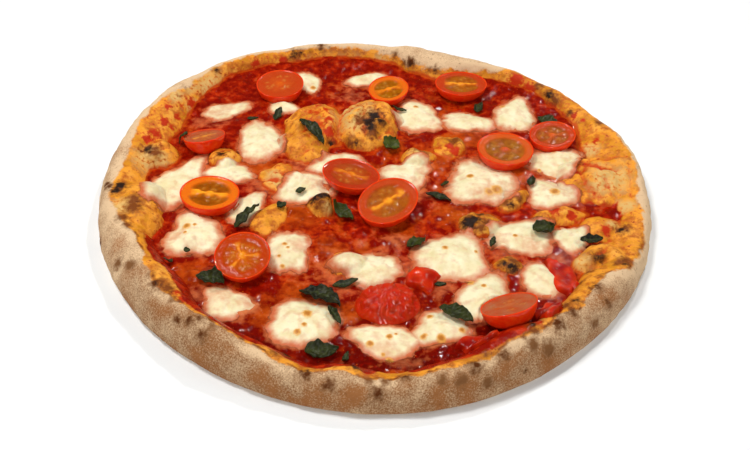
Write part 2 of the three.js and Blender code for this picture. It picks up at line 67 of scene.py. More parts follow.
# Uneven stretches of the outline: bearing, half width in degrees, size.
OUTLINE_BULGES = [(157, 18, -3.2), (276, 22, 1.6), (332, 14, 1.6)]
RIM_LUMPS = [(9, 0.5, 1), (16, 0.4, 4)]   # crest: waves round, height, phase
RIPPLES = [(0.4, 0.09, -0.08, 1.3), (0.3, 0.14, 0.14, 0), (0.25, 0.11, -0.18, 1.6)]
CLIMB = 2.6                    # the sauce climbs this far up the low lip at the back
BASE = 5                       # thickness of the dough under the sauce
WAIST = 3                      # height at which the rim is widest
RIM_FILLET = 1.2               # width of the fillet where a blister meets the rim
BLISTER_FILLET = 1.4           # and where it meets the base or another blister
SAUCE_FILLET = 1               # and where a bump rises out of the sauce
FOOT_INSET = 2.5               # the underside touches down this far in
SAUCE = 8.2                    # mean level of the sauce
SKIRT = 3                      # level to which the sauce reaches into the dough
CHEESE_EDGE = 1.3              # thickness of a mozzarella patch near its edge
THIN_PATCH = 2.8               # a patch lower than this lets more of the sauce show
CHUNK_EDGE = 2                 # thickness of a torn piece of tomato at its edge
SKIN_DEPTH = 0.95              # depth of a tomato half as a share of its half width
CHAMBER = 1.2                  # depth of the seed chambers
OUTLINE_POINTS = 76            # points round the outline of the crust's solid
RIM_WIDTH = 20                 # burnt places swell as far in as this
FLOUR_FADE = 4                 # width over which the flour ends
DOUGH_RELIEF = 0.5             # height of the largest fine unevenness of the dough
SAUCE_RELIEF = 1               # height of the lumps of pulp

# The rim by bearing in degrees: bearing, crest height, crest inset, inset where the lip ends.
RIM = [
    (0, 13.5, 6, 30), (9, 16.5, 7, 32), (19, 16, 7, 31), (28, 14.5, 8, 22), (37, 15, 9, 17),
    (46, 15.5, 9, 15), (53, 17, 8, 15), (61, 17.5, 10, 18), (71, 19.5, 13, 29), (79, 19, 12, 26),
    (86, 16.5, 8, 17), (94, 18, 8, 15), (105, 17.5, 8, 15), (117, 17, 8, 16), (129, 17, 7.5, 14.5),
    (137, 17.5, 7, 18.5), (147, 19.5, 7.5, 23.5), (159, 19, 7, 28), (172, 18, 9, 26),
    (190, 18, 11, 29), (207, 18.5, 15, 27), (220, 19, 14, 29), (234, 19, 12, 23),
    (247, 17, 12.5, 23.5), (259, 13.5, 9, 22), (266, 17, 12.5, 23.5), (275, 13.5, 8.5, 21.5),
    (287, 16, 11.5, 23.5), (298, 21, 16, 27), (310, 19, 12.5, 22.5), (323, 17, 13, 26),
    (333, 14.5, 7.5, 29.5), (344, 13, 7, 26), (352, 13, 6.5, 21.5),
]

# The flour on the rim by bearing in degrees: bearing, inset where it ends, share of white.
# The share of white is partly real flour and partly painted shade: it is lower on the front
# of the rim, which the lamps light less.
FLOUR = [
    (2, 6.5, 0.8), (10, 5.5, 0.8), (20, 4.2, 0.8), (30, 2.4, 0.8), (38, 2, 0.8), (46, 3.2, 0.8),
    (52, 6, 0.8), (57, 12, 0.8), (63, 15.5, 0.75), (70, 22, 0.75), (80, 21, 0.8), (86, 12, 0.9),
    (95, 10, 0.9), (111, 9, 0.9), (123, 8.5, 0.9), (133, 7.5, 0.9), (140, 9.5, 0.8),
    (145, 12.5, 0.7), (150, 9.5, 0.9), (156, 7.5, 0.9), (162, 7.5, 0.85), (168, 10.5, 0.75),
    (175, 12.5, 0.65), (181, 11, 0.65), (186, 8.5, 0.7), (190, 7.3, 0.7), (196, 10.5, 0.65),
    (201, 14, 0.65), (206, 16, 0.6), (211, 16.5, 0.6), (216, 13, 0.45), (222, 10.8, 0.35),
    (228, 12, 0.35), (243, 13, 0.35), (250, 12, 0.35), (254, 10, 0.35), (259, 9.3, 0.35),
    (265, 11.5, 0.4), (271, 8.5, 0.35), (278, 11.3, 0.35), (288, 10, 0.35), (293, 9.5, 0.35),
    (299, 12, 0.4), (304, 10, 0.4), (310, 12.3, 0.45), (316, 9.6, 0.45), (321, 12.8, 0.5),
    (327, 13, 0.55), (330, 9, 0.6), (333, 4.5, 0.65), (338, 3.4, 0.7), (345, 3.6, 0.75),
    (351, 5.5, 0.8), (356, 8, 0.85),
]

# Where the sauce smeared on the lip starts, by bearing in degrees: bearing, inset.
LIP = [
    (5, 24), (14, 40), (190, 40), (195, 23), (202, 22), (208, 18.5), (213, 18), (218, 21),
    (222, 20), (226, 17.5), (230, 14), (236, 13), (247, 13.3), (251, 17), (255, 13.5), (261, 12),
    (267, 13.5), (270, 11.5), (273, 17), (276, 23), (279, 13), (285, 13), (289, 13.5),
    (293, 12.3), (300, 12), (306, 13.5), (308, 20), (311, 12.5), (316, 19), (320, 20), (324, 22),
    (329, 27), (340, 28), (345, 20), (350, 15), (355, 18),
]

# Blisters in the dough: x, y, half length, half width, turn in degrees, height of the top.
BLISTERS = [
    (-36, 50, 18, 32, -8, 18), (-4, 58, 20, 25, -10, 20), (-27, -19, 8, 9, 0, 15.5),
    (-53, -29, 10, 15, -20, 12.5), (57, -30, 13, 11, 20, 14), (78, -9, 15, 6, 55, 12.5),
    (101, -21, 17, 7, 10, 12.5), (70, -61, 10, 7, -10, 12.5), (26, 28, 11, 10, 0, 14),
    (44, 40, 12, 13, 0, 12.5), (124, 11, 21, 22, 0, 16.5), (120, -31, 14, 10, 15, 13.5),
    (118, -54, 17, 9, 28, 15.5), (-12, -63, 11, 11, 0, 12.5), (-52, 7, 13, 15, 20, 12.5),
    (-124, 24, 14, 13, 40, 17), (-125, -27, 16, 27, 8, 19.5), (-84, 22, 11, 12, 0, 13.5),
]
# Low bumps under the sauce skin, in the same columns.
BUMPS = [
    (34, -83, 7, 6, 0, 10.6), (-25, -45, 8, 7, 0, 10.4), (-82, -73, 11, 6, 20, 10.8),
    (-40, -22, 8, 6, 30, 11), (12, -44, 9, 5, 10, 9.6), (30, 7, 5, 6, 0, 10.2),
    (-70, 3, 6, 6, 0, 10), (106, -21, 7, 5, 0, 10.6), (-93, -50, 6, 6, 0, 9.6),
    (90, -45, 6, 6, 0, 9.8), (5, 34, 6, 6, 0, 10.4), (66, -49, 6, 4, 0, 9.8),
]

# Cherry tomato halves: x, y, half length, half width, turn, height of the cut face, tilt,
# bearing that the face leans to, seed chambers, and shares: golden flesh, core, golden gel, how
# open the chambers are, how far a film of cheese dulls the face, how dark it has cooked.
TOMATOES = [
    (-59, 92, 14.5, 14, 10, 15.5, 4, 260, 3, (0.15, 0.15, 0.1, 0.12, 0.1, 0.3)),
    (-97.5, 35, 12, 11.5, 30, 15.5, 18, 112, 2, (0, 0.9, 0.3, 0.5, 0.7, 0.3)),
    (8, 89, 12.5, 11.5, 24, 16, 8, 255, 2, (0.6, 0.4, 1, 1, 0, 0)),
    (53, 97, 16, 12.5, 0, 16, 2, 270, 2, (0.1, 1, 0.9, 0.9, 0.1, 0.3)),
    (104, 46, 13.5, 11.5, 8, 15, 6, 250, 3, (0.1, 0.2, 0.5, 0.8, 0.1, 0.2)),
    (75, 29.5, 16, 14, -8, 16, 4, 265, 3, (0.3, 0, 1, 1, 0.15, 0)),
    (-87, -17, 16, 13.5, -6, 15.5, 3, 270, 2, (0.7, 1, 0.6, 1, 0, 0)),
    (-12, 1, 16.5, 12, -24, 17, 3, 250, 2, (0.05, 0.5, 0.3, 0.5, 0.15, 0.5)),
    (8.5, -21.5, 17.5, 14, 42, 17, 12, 270, 2, (0.15, 1, 0.8, 0.8, 0.15, 0.25)),
    (-63.5, -67, 14, 14, 0, 16.5, 14, 265, 3, (0.25, 0.6, 0.6, 0.35, 0, 0.45)),
    (9, -91, 16.5, 13.5, 5, 6, 0, 0, 0, (0, 0, 0, 0, 0, 0.5)),
    (66, -98, 14, 12.5, 25, 18, 27, 122, 2, (0.1, 0.2, 0.1, 0.3, 0.75, 0.2)),
]

# Torn pieces of tomato: x, y, half length, half width, turn, height above the sauce.
CHUNKS = [
    (26.5, -73, 8.5, 8.5, 10, 4), (85, -97, 6, 10, -25, 5), (96, -69, 7.5, 13, 14, 4),
    (51, -116.5, 10.5, 6, 12, 4),
]

# Mozzarella patches: x, y, half length, half width, turn, height at the middle, and waves of
# the melted outline as waves round, share of the radius, bearing of the first bulge.
CHEESE = [
    (-5, 110, 13, 8, 14, 3.4, [(2, 0.1, 20), (3, 0.08, 60)]),
    (-42, 104, 7, 12, 20, 2, [(3, 0.1, 20)]),
    (-56, 76, 9, 8.5, -20, 3, [(3, 0.12, 10)]),
    (26, 69, 14, 16, 30, 3.2, [(3, 0.12, 60), (5, 0.05, 10)]),
    (85, 73, 11.5, 18, -12, 3.4, [(2, 0.06, 0), (3, 0.1, 90)]),
    (55, 65, 16, 10, -6, 2.6, [(3, 0.12, 0)]),
    (-66, 40, 13, 20, 10, 4, [(2, 0.05, 40), (3, 0.08, 100)]),
    (-90, 71, 15, 8, 30, 2, [(3, 0.12, 0), (5, 0.06, 30)]),
    (-108, -3, 12, 26, -22, 3.6, [(3, 0.1, 90), (4, 0.07, 0)]),
    (-92, -44, 14, 17, 8, 3.4, [(3, 0.14, 95), (4, 0.08, 20)]),
    (-80, 9, 14, 8.5, -8, 2.6, [(3, 0.12, 200)]),
    (-67, -21, 8, 14, -24, 3, [(3, 0.1, 90)]),
    (-36, -3, 16, 13, 26, 3.4, [(3, 0.12, 190), (4, 0.06, 0)]),
    (-18, 19, 18, 9, 4, 3.4, [(2, 0.06, 90), (3, 0.14, 200)]),
    (18, 12, 15, 12, 18, 3.2, [(3, 0.12, 150), (4, 0.05, 30)]),
    (60, 6.5, 19, 20, 20, 3.8, [(3, 0.1, 200), (4, 0.06, 10)]),
    (103, 26, 16, 15, 24, 3, [(3, 0.16, 20), (4, 0.06, 0)]),
    (98, -2, 13, 12.5, 0, 3.2, [(3, 0.12, 230)]),
    (78, -39, 18, 13, 6, 3.4, [(3, 0.1, 170), (4, 0.06, 40)]),
    (104, -40, 9, 10.5, 0, 3, [(3, 0.12, 150)]),
    (41, -57, 19, 17, 24, 4, [(3, 0.08, 170), (4, 0.06, 30)]),
    (56, -86, 13, 17, -24, 4, [(3, 0.1, 100), (4, 0.05, 0)]),
    (87, -71, 12, 12, 0, 3, [(3, 0.1, 130), (4, 0.06, 20)]),
    (-42.5, -55, 11, 16, 6, 3.2, [(4, 0.1, 40)]),
    (-31, -105, 17, 15, 6, 4.2, [(3, 0.06, 0), (4, 0.05, 30)]),
    (8, -114.5, 16, 10.5, -8, 3.4, [(3, 0.1, 160), (4, 0.05, 0)]),
    (34, -106, 14, 11, 24, 3.6, [(3, 0.1, 200)]),
    (-1, -66, 17, 12, -8, 2.6, [(3, 0.14, 170), (4, 0.1, 0)]),
    (-68, -93, 13, 10, -18, 2.4, [(3, 0.14, 20)]),
]

# Basil leaves: x, y, half length, half width, turn, rise of the curled midrib, bend sideways,
# share that stayed green.
BASIL = [
    (-36, 38, 12, 3.6, -52, 1.4, 2, 0.1), (10.5, 37.5, 5.6, 5.2, 60, 1.2, 0, 0.8),
    (-65.5, -31, 10, 3, 56, 1.6, 1, 0.15), (-14.5, -24, 7.4, 4.4, -52, 1.4, -1, 0.45),
    (23.5, -48, 6, 4, 40, 1.4, 0, 0.45), (36, -8.5, 7.5, 2.4, -24, 1, 1, 0.05),
    (-78, -80.5, 8, 4, -22, 1.4, 1.5, 0.12), (-24, -90, 11.5, 6, -28, 1.8, 3, 0),
    (-21, -122.5, 8, 4.6, 8, 1.4, -1, 0.2), (90.5, -35, 7, 5.4, 34, 1.6, 0, 0.25),
    (41.5, -99.5, 9, 5, -30, 1.4, 1, 0.25), (104, 67, 6.4, 5, -30, 1.2, 0, 0.25),
    (114, -43.5, 6.4, 3, 14, 1, 0, 0),
]
# Scraps of basil: the same columns but the last.
SCRAPS = [
    (-58, 66, 4.5, 2.8, 70, 0.8, 0), (64, 80, 6, 3, 75, 1, 1), (88, 7, 4.5, 2.6, 80, 0.8, 0),
    (15, 73, 4.4, 1.6, -15, 0.6, 0), (-48, -22, 3.5, 2.6, 60, 0.8, 0), (-39, -8, 3, 2, 30, 0.6, 0),
    (-110, 37, 5, 2.2, 75, 0.8, 0), (-93, -58, 1.7, 1.3, 0, 0.4, 0), (-12, -78, 6.5, 2.4, 10, 0.6, 0),
    (63, -45, 3.4, 1.8, 75, 0.6, 0), (40, 4, 2.3, 1.6, 0, 0.4, 0), (-16, -102, 6, 2.4, -60, 0.8, 0),
    (-101, -66, 3, 1.6, 60, 0.5, 0), (-10, -126, 4, 1.4, 75, 0.5, 0), (35, -76, 3, 1.5, 10, 0.5, 0),
    (-73, 63, 3.4, 1.6, 10, 0.5, 0),
]

# ------------------------------------------------------------------ places on the surfaces

# Burnt places in the dough: x, y, radius.
CHAR = [
    (-135, -15, 2.7), (-136, -20, 2.4), (-141, -16, 2.1), (-143, -12, 1.6), (-127, 20, 2.4),
    (-86, 21, 2), (-21, 86, 3.1), (0, 56, 3.5), (-3, 50, 3.5), (4, 50, 2.3),
    (-2, 46, 2.6), (-10, 37, 1.7), (-25, 38, 1.7), (-31, -16, 2.7), (-27, -15, 3.2),
    (-23, -15, 2.2), (28, 39, 2.9), (32, 37, 1.7), (44, 52, 2.4), (53, -19, 3.8), (58, -20, 3.8),
    (51, -33, 3.7), (54, -30, 3.2), (62, -18, 2.7), (75, -15, 1.6), (67, -62, 2), (71, -65, 2.5),
    (115, -58, 2.5), (131, -34, 2.1), (-139, -49, 1.5), (-102, -91, 2.1), (-75, -122, 2),
    (-37, -126, 2.3), (-27, -141, 2.2), (-17, -146, 2), (-5, -137, 1.8), (-53, 129, 2),
    (-49, 130, 1.4), (-36, 135, 1.8), (22, 122, 2.2), (38, 115, 1.4), (-100, 104, 1.4),
    (48, -136, 2.2), (75, -113, 1.6), (95, -102, 2.1), (110, -84, 1.9), (88, -110, 2.3),
    (107, 89, 2.2), (118, 73, 1.4), (71, -132, 1.1), (-82, -114, 1.7), (-88, -112, 1.4),
    (-77, -114, 1.4), (61, -130, 1.8), (5, -149, 2.2), (17, -141, 1.7), (98, -94, 1.8),
    (114, -91, 1.7), (82, -105, 1.8), (127, -65, 1.5),
]
# Browned places in the dough: x, y, radius.
TOAST = [
    (-124, -34, 4.7), (-128, -43, 3.1), (-124, -49, 2.5), (-125, -29, 4.2), (-123, 18, 4.5),
    (-7, 52, 4.7), (-1, 42, 4.1), (-14, 38, 4.1), (-28, -22, 4.3), (27, 31, 4), (47, 43, 4.7),
    (61, -32, 3.7), (57, -37, 3.1), (48, -24, 3.2), (72, -13, 3.2), (80, -10, 2.7), (73, -61, 4),
    (70, -57, 2.5), (129, -62, 3.5), (124, -63, 3), (113, -75, 2), (133, -33, 3.7),
    (-105, -85, 2.4), (-100, -90, 3.3), (-96, -93, 3.8), (-92, -101, 2.3), (-71, -119, 2.3),
    (-35, -122, 2.3), (-42, -129, 2.3), (1, -144, 2.2), (8, -144, 2.2), (15, -141, 1.8),
    (-56, 127, 2), (-43, 132, 1.4), (-30, 135, 1.4), (-21, 134, 1.2), (12, 131, 2.4),
    (18, 124, 2.4), (34, 116, 2), (-116, 81, 1.6), (-118, 73, 1.6), (53, -130, 2.2),
    (76, -116, 2.7), (93, -97, 3.3), (103, -76, 2.9), (110, -66, 3), (107, -102, 2.6),
    (75, -123, 3.2), (82, -122, 3.7), (54, -140, 2.7), (42, -142, 3.5), (33, -143, 2.6),
    (-125, -72, 3), (-117, -77, 2.9), (110, 85, 3.7), (102, 98, 3.1), (134, 61, 3),
]
# Pale places in the dough: x, y, radius. Those in the last two rows, on the back lip and the
# upper left lip, are painted light that brightens walls the lamps light less.
PALE_AND_LIT_PLACES = [
    (-13, 59, 7), (-12, 50, 5), (134, 8, 6), (127, 6, 4), (-126, 14, 5),
    (-15, 67, 4.2), (-13, 53, 4.1), (-17, 62, 3.6), (-131, -33, 3.6), (-128, 14, 3.9),
    (-120, 15, 3.4), (-102, 95, 5.6), (-93, 90, 5.6), (-105, 90, 4.3), (-86, 86, 4.3),
    (-54, 3, 3.9), (-80, 13, 3.4), (129, 12, 4.5), (132, 4, 4.4), (125, 0, 3.3), (125, 37, 3.5),
    (26, 27, 3.4), (-23, -23, 2.1), (127, -30, 2.1), (107, -60, 2.5), (28, -31, 2.6), (137, -14, 3.2),
    (-44, 127, 3.4), (-30, 130, 3.6), (-15, 131, 3.6), (2, 130, 3.2), (-113, 84, 3.4), (-120, 72, 3),
    (-23, 130, 3.6), (-110, 73, 3.4), (-106, 60, 3.4),
]
# Splashes of tomato pulp on the dough: x, y, radius.
PULP = [
    (-129, 30, 2.9), (-126, 37, 3.5), (-123, 49, 2.9), (-119, 48, 2.3), (-123, 61, 2.4),
    (-116, 68, 1.8), (-111, 74, 3.6), (-117, 58, 2.4), (-89, 108, 4), (-85, 100, 4.4),
    (-92, 97, 3), (-77, 118, 3), (-60, 125, 3.2), (-41, 82, 2.2), (-34, 72, 2.4),
    (-29, 64, 2.4), (-27, 53, 2.9), (-26, 43, 3.5), (-23, 39, 2.9), (13, 57, 2.4), (120, 70, 2.4),
    (125, 65, 1.8), (129, 44, 2.3), (109, 83, 3.1), (119, -10, 2.7), (105, -12, 2.2),
    (113, 13, 3.3), (127, 16, 2.2), (123, -35, 2.6), (131, -19, 3.2), (120, 23, 2.3),
    (-49, 123, 3.9), (88, 105, 5), (96, 98, 4.4), (-63, 22, 2.3), (-56, 23, 2.8), (26, 24, 2.3),
    (44, 37, 2.9), (47, 33, 2.9), (97, -20, 3.4), (107, -23, 2.8),
    (-87, -101, 2.8), (-91, -95, 2.4),
]
# Craggy stretches of dough: x, y, radius.
CRAGGED = [
    (-36, 50, 24), (-4, 56, 24), (57, -30, 14), (124, 11, 18), (-52, 7, 13), (118, -54, 13),
    (-27, -19, 9), (-84, 22, 11), (-124, 24, 10), (100, -22, 12), (26, 28, 10), (44, 40, 11),
]
# Creases in the dough: the two ends of each, its half width and its depth.
CREASES = [
    (-20, 71, -20, 60, 1.8, 2.4), (-20, 60, -22, 46, 1.8, 2.8), (-22, 46, -23, 26, 2.2, 2.6),
    (-39, 49, -32, 45, 1.4, 1.2), (-32, 45, -23, 36, 1.4, 1.6), (-43, 25, -34, 32, 1.4, 1.2),
    (-6, 64, -10, 39, 1.2, 0.9), (-43, 66, -35, 57, 1.4, 1.2), (114, 21, 130, 26, 2, 2.6),
    (130, 26, 143, 26, 1.8, 2), (115, 13, 118, 2, 2, 2.8), (118, 2, 124, -7, 2, 2.4),
    (143, 16, 142, -6, 1.8, 1.8), (127, 14, 138, 16, 1.6, 1.4), (-137, -27, -126, -38, 1.4, 1),
    (-113, 79, -101, 63, 1.6, 1), (110, -63, 123, -58, 1.6, 1.2),
]
# Stretches of dough that tomato pulp has speckled: x, y, radius.
SPLASHED = [
    (-122, 46, 14), (-112, 66, 14), (-96, 84, 16), (-86, 104, 12), (-68, 118, 12), (-34, 66, 16),
    (-28, 44, 12), (-50, 124, 12), (92, 100, 14), (112, 80, 12), (126, 44, 12), (118, -10, 13),
    (112, 20, 12), (128, -26, 12), (46, 36, 12), (24, 22, 9), (-52, 14, 12), (-88, 26, 10),
    (0, 66, 9), (100, -22, 13), (-88, -98, 8), (-126, 30, 10), (70, -62, 7), (56, -34, 8),
]
# Browned bubbles in the cheese: x, y, radius.
CHEESE_TOAST = [
    (-29, -102, 2.5), (-33, -113, 1.7), (-30, -109, 1.4), (1, -118, 1.9), (10, -114, 1.7),
    (13, -112, 0.8), (7, -124, 1.1), (10, -127, 1.7), (29, -100, 1.7), (34, -114, 2.2),
    (26, -113, 1.7), (44, -108, 1.7), (56, -79, 1.4), (50, -75, 1.7), (55, -93, 1.4),
    (45, -98, 1.1), (38, -52, 1.7), (54, -52, 1.1), (-44, -52, 1.4), (-42, -55, 1.1),
    (-46, -61, 1.1), (-44, -67, 1.4), (-96, -40, 2.2), (-92, -39, 1.1), (-96, -45, 1.1),
    (-39, 97, 1.9), (25, 77, 1.7), (78, 81, 1.7), (104, 35, 1.7), (94, 18, 1.1), (54, 9, 2.2),
    (68, -2, 3.4), (64, -4, 2.6), (100, -3, 2.8), (75, -40, 1.4),
]
# Places where the cheese is only a veil: x, y, radius.
VEILS = [
    (66, -8, 11), (74, -2, 7), (110, 6, 8), (101, 12, 5), (86, 14, 6), (95, 36, 5), (-96, 67, 6),
    (-92, 80, 8), (1, 19, 8), (23, -1, 6), (30, 11, 5), (-24, 0, 7), (82, -50, 6), (64, -43, 5),
    (95, -84, 6), (-36, -52, 4), (-88, -60, 6), (-101, -46, 3), (-110, -28, 4), (-58, 20, 7),
    (38, 60, 5), (26, -66, 5), (-18, -76, 8), (11, -77, 6), (-75, -87, 7), (-57, -93, 6),
    (-15, -112, 5), (8, -123, 6), (46, -115, 5), (-66, 58, 4),
]
# Milky stretches of the sauce: x, y, radius.
MILK = [
    (-14, -70, 16), (8, -62, 12), (22, -66, 8), (-84, -88, 6), (-62, -100, 5), (-20, -82, 9),
    (36, -78, 8), (12, -44, 9), (-60, -2, 10), (-42, 20, 9), (-14, 92, 9), (70, -52, 8),
    (-104, 60, 6), (28, -4, 8), (112, -4, 8), (96, -56, 8), (18, -128, 7), (-96, 60, 8),
]
# Oily orange stretches of the sauce: x, y, radius.
OIL = [
    (-40, -24, 14), (-60, -50, 9), (34, 26, 14), (56, 48, 12), (-10, -98, 8), (-36, -84, 9),
    (16, -36, 8), (44, -22, 10), (-66, 18, 12), (-48, -98, 9), (-90, 8, 8), (-88, -72, 9),
    (60, -66, 8), (82, 12, 9), (10, 38, 9), (112, -70, 8), (-20, -52, 9),
]

# ------------------------------------------------------------------ mesh and noise helpers

TURN = 2 * np.pi
LATTICE = np.random.default_rng(11).normal(size=(32, 32, 32, 3))
LATTICE /= np.linalg.norm(LATTICE, axis=-1, keepdims=True)


def lerp(low, high, share):
    """Value at a share of the way from low to high."""
    return low + (high - low) * share


def ease(value, start, end):
    """0 before start, 1 after end, and 3 s squared minus 2 s cubed between them."""
    share = np.clip((value - start) / (end - start), 0, 1)
    return share * share * (3 - 2 * share)


def blend_max(first, second, width):
    """The higher of two heights, with a fillet where they are closer than the width."""
    near = np.maximum(width - np.abs(first - second), 0)
    return np.maximum(first, second) + near * near / (4 * width)


def bell(away):
    """Bell-shaped fall-off: 1 in the middle and about a half at a distance of 1."""
    return np.exp(-0.7 * away * away)


def noise(points, size, seed=0):
    """Gradient noise, about -1 to 1: each corner of a cube of the given size holds a seeded
    direction, and its dot products with the way to the point are eased between the corners."""
    place = points / size + 7.31 * seed
    cell = np.floor(place).astype(int)
    part = place - cell
    eased = part ** 3 * (part * (6 * part - 15) + 10)
    total = 0
    for corner in itertools.product((0, 1), repeat=3):
        index = (cell + corner) % 32
        slopes = LATTICE[index[..., 0], index[..., 1], index[..., 2]]
        weight = np.prod(np.where(corner, eased, 1 - eased), axis=-1)
        total = total + weight * np.sum(slopes * (part - corner), axis=-1)
    return 2 * total


def folds(points, size, seed=0):
    """Sharp valleys between round folds, 0 in a valley and 1 on a fold: the size of noise."""
    return np.clip(2.2 * np.abs(noise(points, size, seed)), 0, 1) ** 0.6


def stack(x, y, z):
    """Points from three arrays that may need spreading to one shape."""
    return np.stack(np.broadcast_arrays(x, y, z), axis=-1).astype(float)


def sideways(points, size, seed):
    """Points to add to others to push them about over the plan, by noise of the given size."""
    return stack(noise(points, size, seed), noise(points, size, seed + 1), 0)


def inside(place, x, y):
    """Plan point in the frame of a piece: its turn undone and its half sizes divided out."""
    at_x, at_y, length, width, turn = place[:5]
    cosine, sine = np.cos(np.radians(turn)), np.sin(np.radians(turn))
    along = (x - at_x) * cosine + (y - at_y) * sine
    across = (y - at_y) * cosine - (x - at_x) * sine
    return along / length, across / width


def on_piece(place, along, across):
    """Plan point of a piece from shares of its half length and half width."""
    at_x, at_y, length, width, turn = place[:5]
    cosine, sine = np.cos(np.radians(turn)), np.sin(np.radians(turn))
    x = at_x + along * length * cosine - across * width * sine
    return x, at_y + along * length * sine + across * width * cosine


def grid_faces(index):
    """Faces of a grid of point numbers, and the numbers round its border in order."""
    quads = np.stack([index[:-1, :-1], index[1:, :-1], index[1:, 1:], index[:-1, 1:]], -1)
    border = np.concatenate([index[:-1, 0], index[-1, :-1], index[:0:-1, -1], index[0, :0:-1]])
    return quads.reshape(-1, 4), border


def strip(upper, lower):
    """Faces between two loops of point numbers."""
    return np.stack([upper, lower, np.roll(lower, -1), np.roll(upper, -1)], -1)


def disc_grid(rings):
    """Square grid bent into a disc: ring number and bearing of each point, its faces, and the
    outer ring in order. A point's ring is the larger of its two steps from the middle, and its
    bearing goes evenly round that ring."""
    steps = np.arange(-rings, rings + 1)
    a, b = (grid.ravel() for grid in np.meshgrid(steps, steps, indexing="ij"))
    ring = np.maximum(np.abs(a), np.abs(b))
    wide = np.abs(a) >= np.abs(b)
    safe_a, safe_b = np.where(a == 0, 1, a), np.where(b == 0, 1, b)
    across = np.where(a < 0, np.pi, 0) + np.pi / 4 * b / safe_a
    upright = np.where(b < 0, -np.pi, 0) + np.pi / 2 - np.pi / 4 * a / safe_b
    bearing = np.where(ring == 0, 0, np.where(wide, across, upright))
    side = 2 * rings + 1
    return ring, bearing, *grid_faces(np.arange(side * side).reshape(side, side))


def polar_faces(around, rows):
    """Faces of rows of points that run out and down from a pole, the first point, to a pole
    below, the last point."""
    ring = np.arange(around)
    after = (ring + 1) % around
    start = 1 + around * np.arange(rows - 1)[:, None]
    corners = [start + ring, start + around + ring, start + around + after, start + after]
    last = 1 + around * (rows - 1)
    top = np.stack([0 * ring, 1 + ring, 1 + after], -1)
    bottom = np.stack([last + after, last + ring, 0 * ring + last + around], -1)
    return [np.stack(corners, -1).reshape(-1, 4), top, bottom]


def closed_below(shape, fields, border, rings):
    """Shape and fields with a flat underside, and its faces. It is made of rings, each given by
    its share of the border's reach and its height, and a point in the middle of the last."""
    loops, count = [border], len(shape)
    edge = shape[border]
    for share, height in rings:
        loops.append(len(shape) + np.arange(len(border)))
        shape = np.concatenate([shape, edge * [share, share, 0] + [0, 0, height]])
    middle = np.full(len(border), len(shape))
    shape = np.concatenate([shape, [[0, 0, height]]])
    fields = {name: np.concatenate([values, np.full(len(shape) - count, values[border].mean())])
              for name, values in fields.items()}
    fan = np.stack([np.roll(loops[-1], -1), loops[-1], middle], -1)
    return shape, fields, [*(strip(*pair) for pair in zip(loops, loops[1:])), fan]


def in_frame(points):
    """Points in mm, moved from the pizza's own middle to the frame, which centres the crust's
    box, and turned to metres."""
    bearing = TURN * np.arange(OUTLINE_POINTS) / OUTLINE_POINTS
    around = outline(bearing) * np.array([np.cos(bearing), np.sin(bearing)])
    low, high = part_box("crust")
    centre = np.array([low.x + high.x, low.y + high.y]) / (2 * MM)
    shift = centre - (around.min(axis=1) + around.max(axis=1)) / 2
    return (points + np.array([*shift, 0])) * MM


def new_piece(name, points, faces, material, node, fields):
    """Object in the frame from points in mm, faces in blocks of one size, and point fields. It
    stands for a node, if one is named."""
    placed = in_frame(points)
    corners = np.concatenate([block.ravel() for block in faces])
    sizes = np.concatenate([np.full(len(block), block.shape[1]) for block in faces])
    mesh = bpy.data.meshes.new(name)
    mesh.vertices.add(len(placed))
    mesh.vertices.foreach_set("co", placed.ravel())
    mesh.loops.add(len(corners))
    mesh.loops.foreach_set("vertex_index", corners)
    mesh.polygons.add(len(sizes))
    mesh.polygons.foreach_set("loop_start", np.cumsum(sizes) - sizes)
    mesh.update(calc_edges=True)
    mesh.validate()
    for field, values in fields.items():
        layer = mesh.attributes.new(field, "FLOAT", "POINT")
        layer.data.foreach_set("value", np.asarray(values, np.float32).ravel())
    mesh.materials.append(material)
    piece = bpy.data.objects.new(name, mesh)
    bpy.context.scene.collection.objects.link(piece)
    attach(piece, "root")
    if node:
        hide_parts(node)


# ------------------------------------------------------------------ heights over the plan

def eased_round(stations, column, bearing):
    """Column of a ring of stations at a bearing, eased from each station to the next."""
    table = np.array(stations, float)
    turned = np.degrees(bearing) % 360
    after = np.searchsorted(table[:, 0], turned, side="right")
    before = (after - 1) % len(table)
    start = np.where(after == 0, table[before, 0] - 360, table[before, 0])
    after = after % len(table)
    end = np.where(table[after, 0] <= start, table[after, 0] + 360, table[after, 0])
    return lerp(table[before, column], table[after, column], ease(turned, start, end))


def outline(bearing):
    """Outline radius: the mean radius, a few slow waves and bell-shaped bulges."""
    waves = sum(cosine * np.cos(count * bearing) + sine * np.sin(count * bearing)
                for count, cosine, sine in OUTLINE_WAVES)
    bulges = sum(size * bell(((np.degrees(bearing) - middle + 180) % 360 - 180) / half_width)
                 for middle, half_width, size in OUTLINE_BULGES)
    return RADIUS + waves + bulges


def rim(bearing):
    """Crest height, crest inset and lip inset of the rim at a bearing."""
    lumps = sum(size * np.sin(waves * bearing + phase) for waves, size, phase in RIM_LUMPS)
    return (eased_round(RIM, 1, bearing) + lumps, eased_round(RIM, 2, bearing),
            eased_round(RIM, 3, bearing))


def wall_height(bearing, inset):
    """Rim from outside in: a quarter ellipse up to the crest, a parabola down to the base."""
    crest, crest_inset, lip_inset = rim(bearing)
    share = np.clip((inset - crest_inset) / (lip_inset - crest_inset), 0, 1)
    out = np.clip(1 - inset / crest_inset, 0, 1)
    face = WAIST + (crest - WAIST) * np.sqrt(1 - out * out)
    return np.where(inset < crest_inset, face, BASE + (crest - BASE) * (1 - share * share))


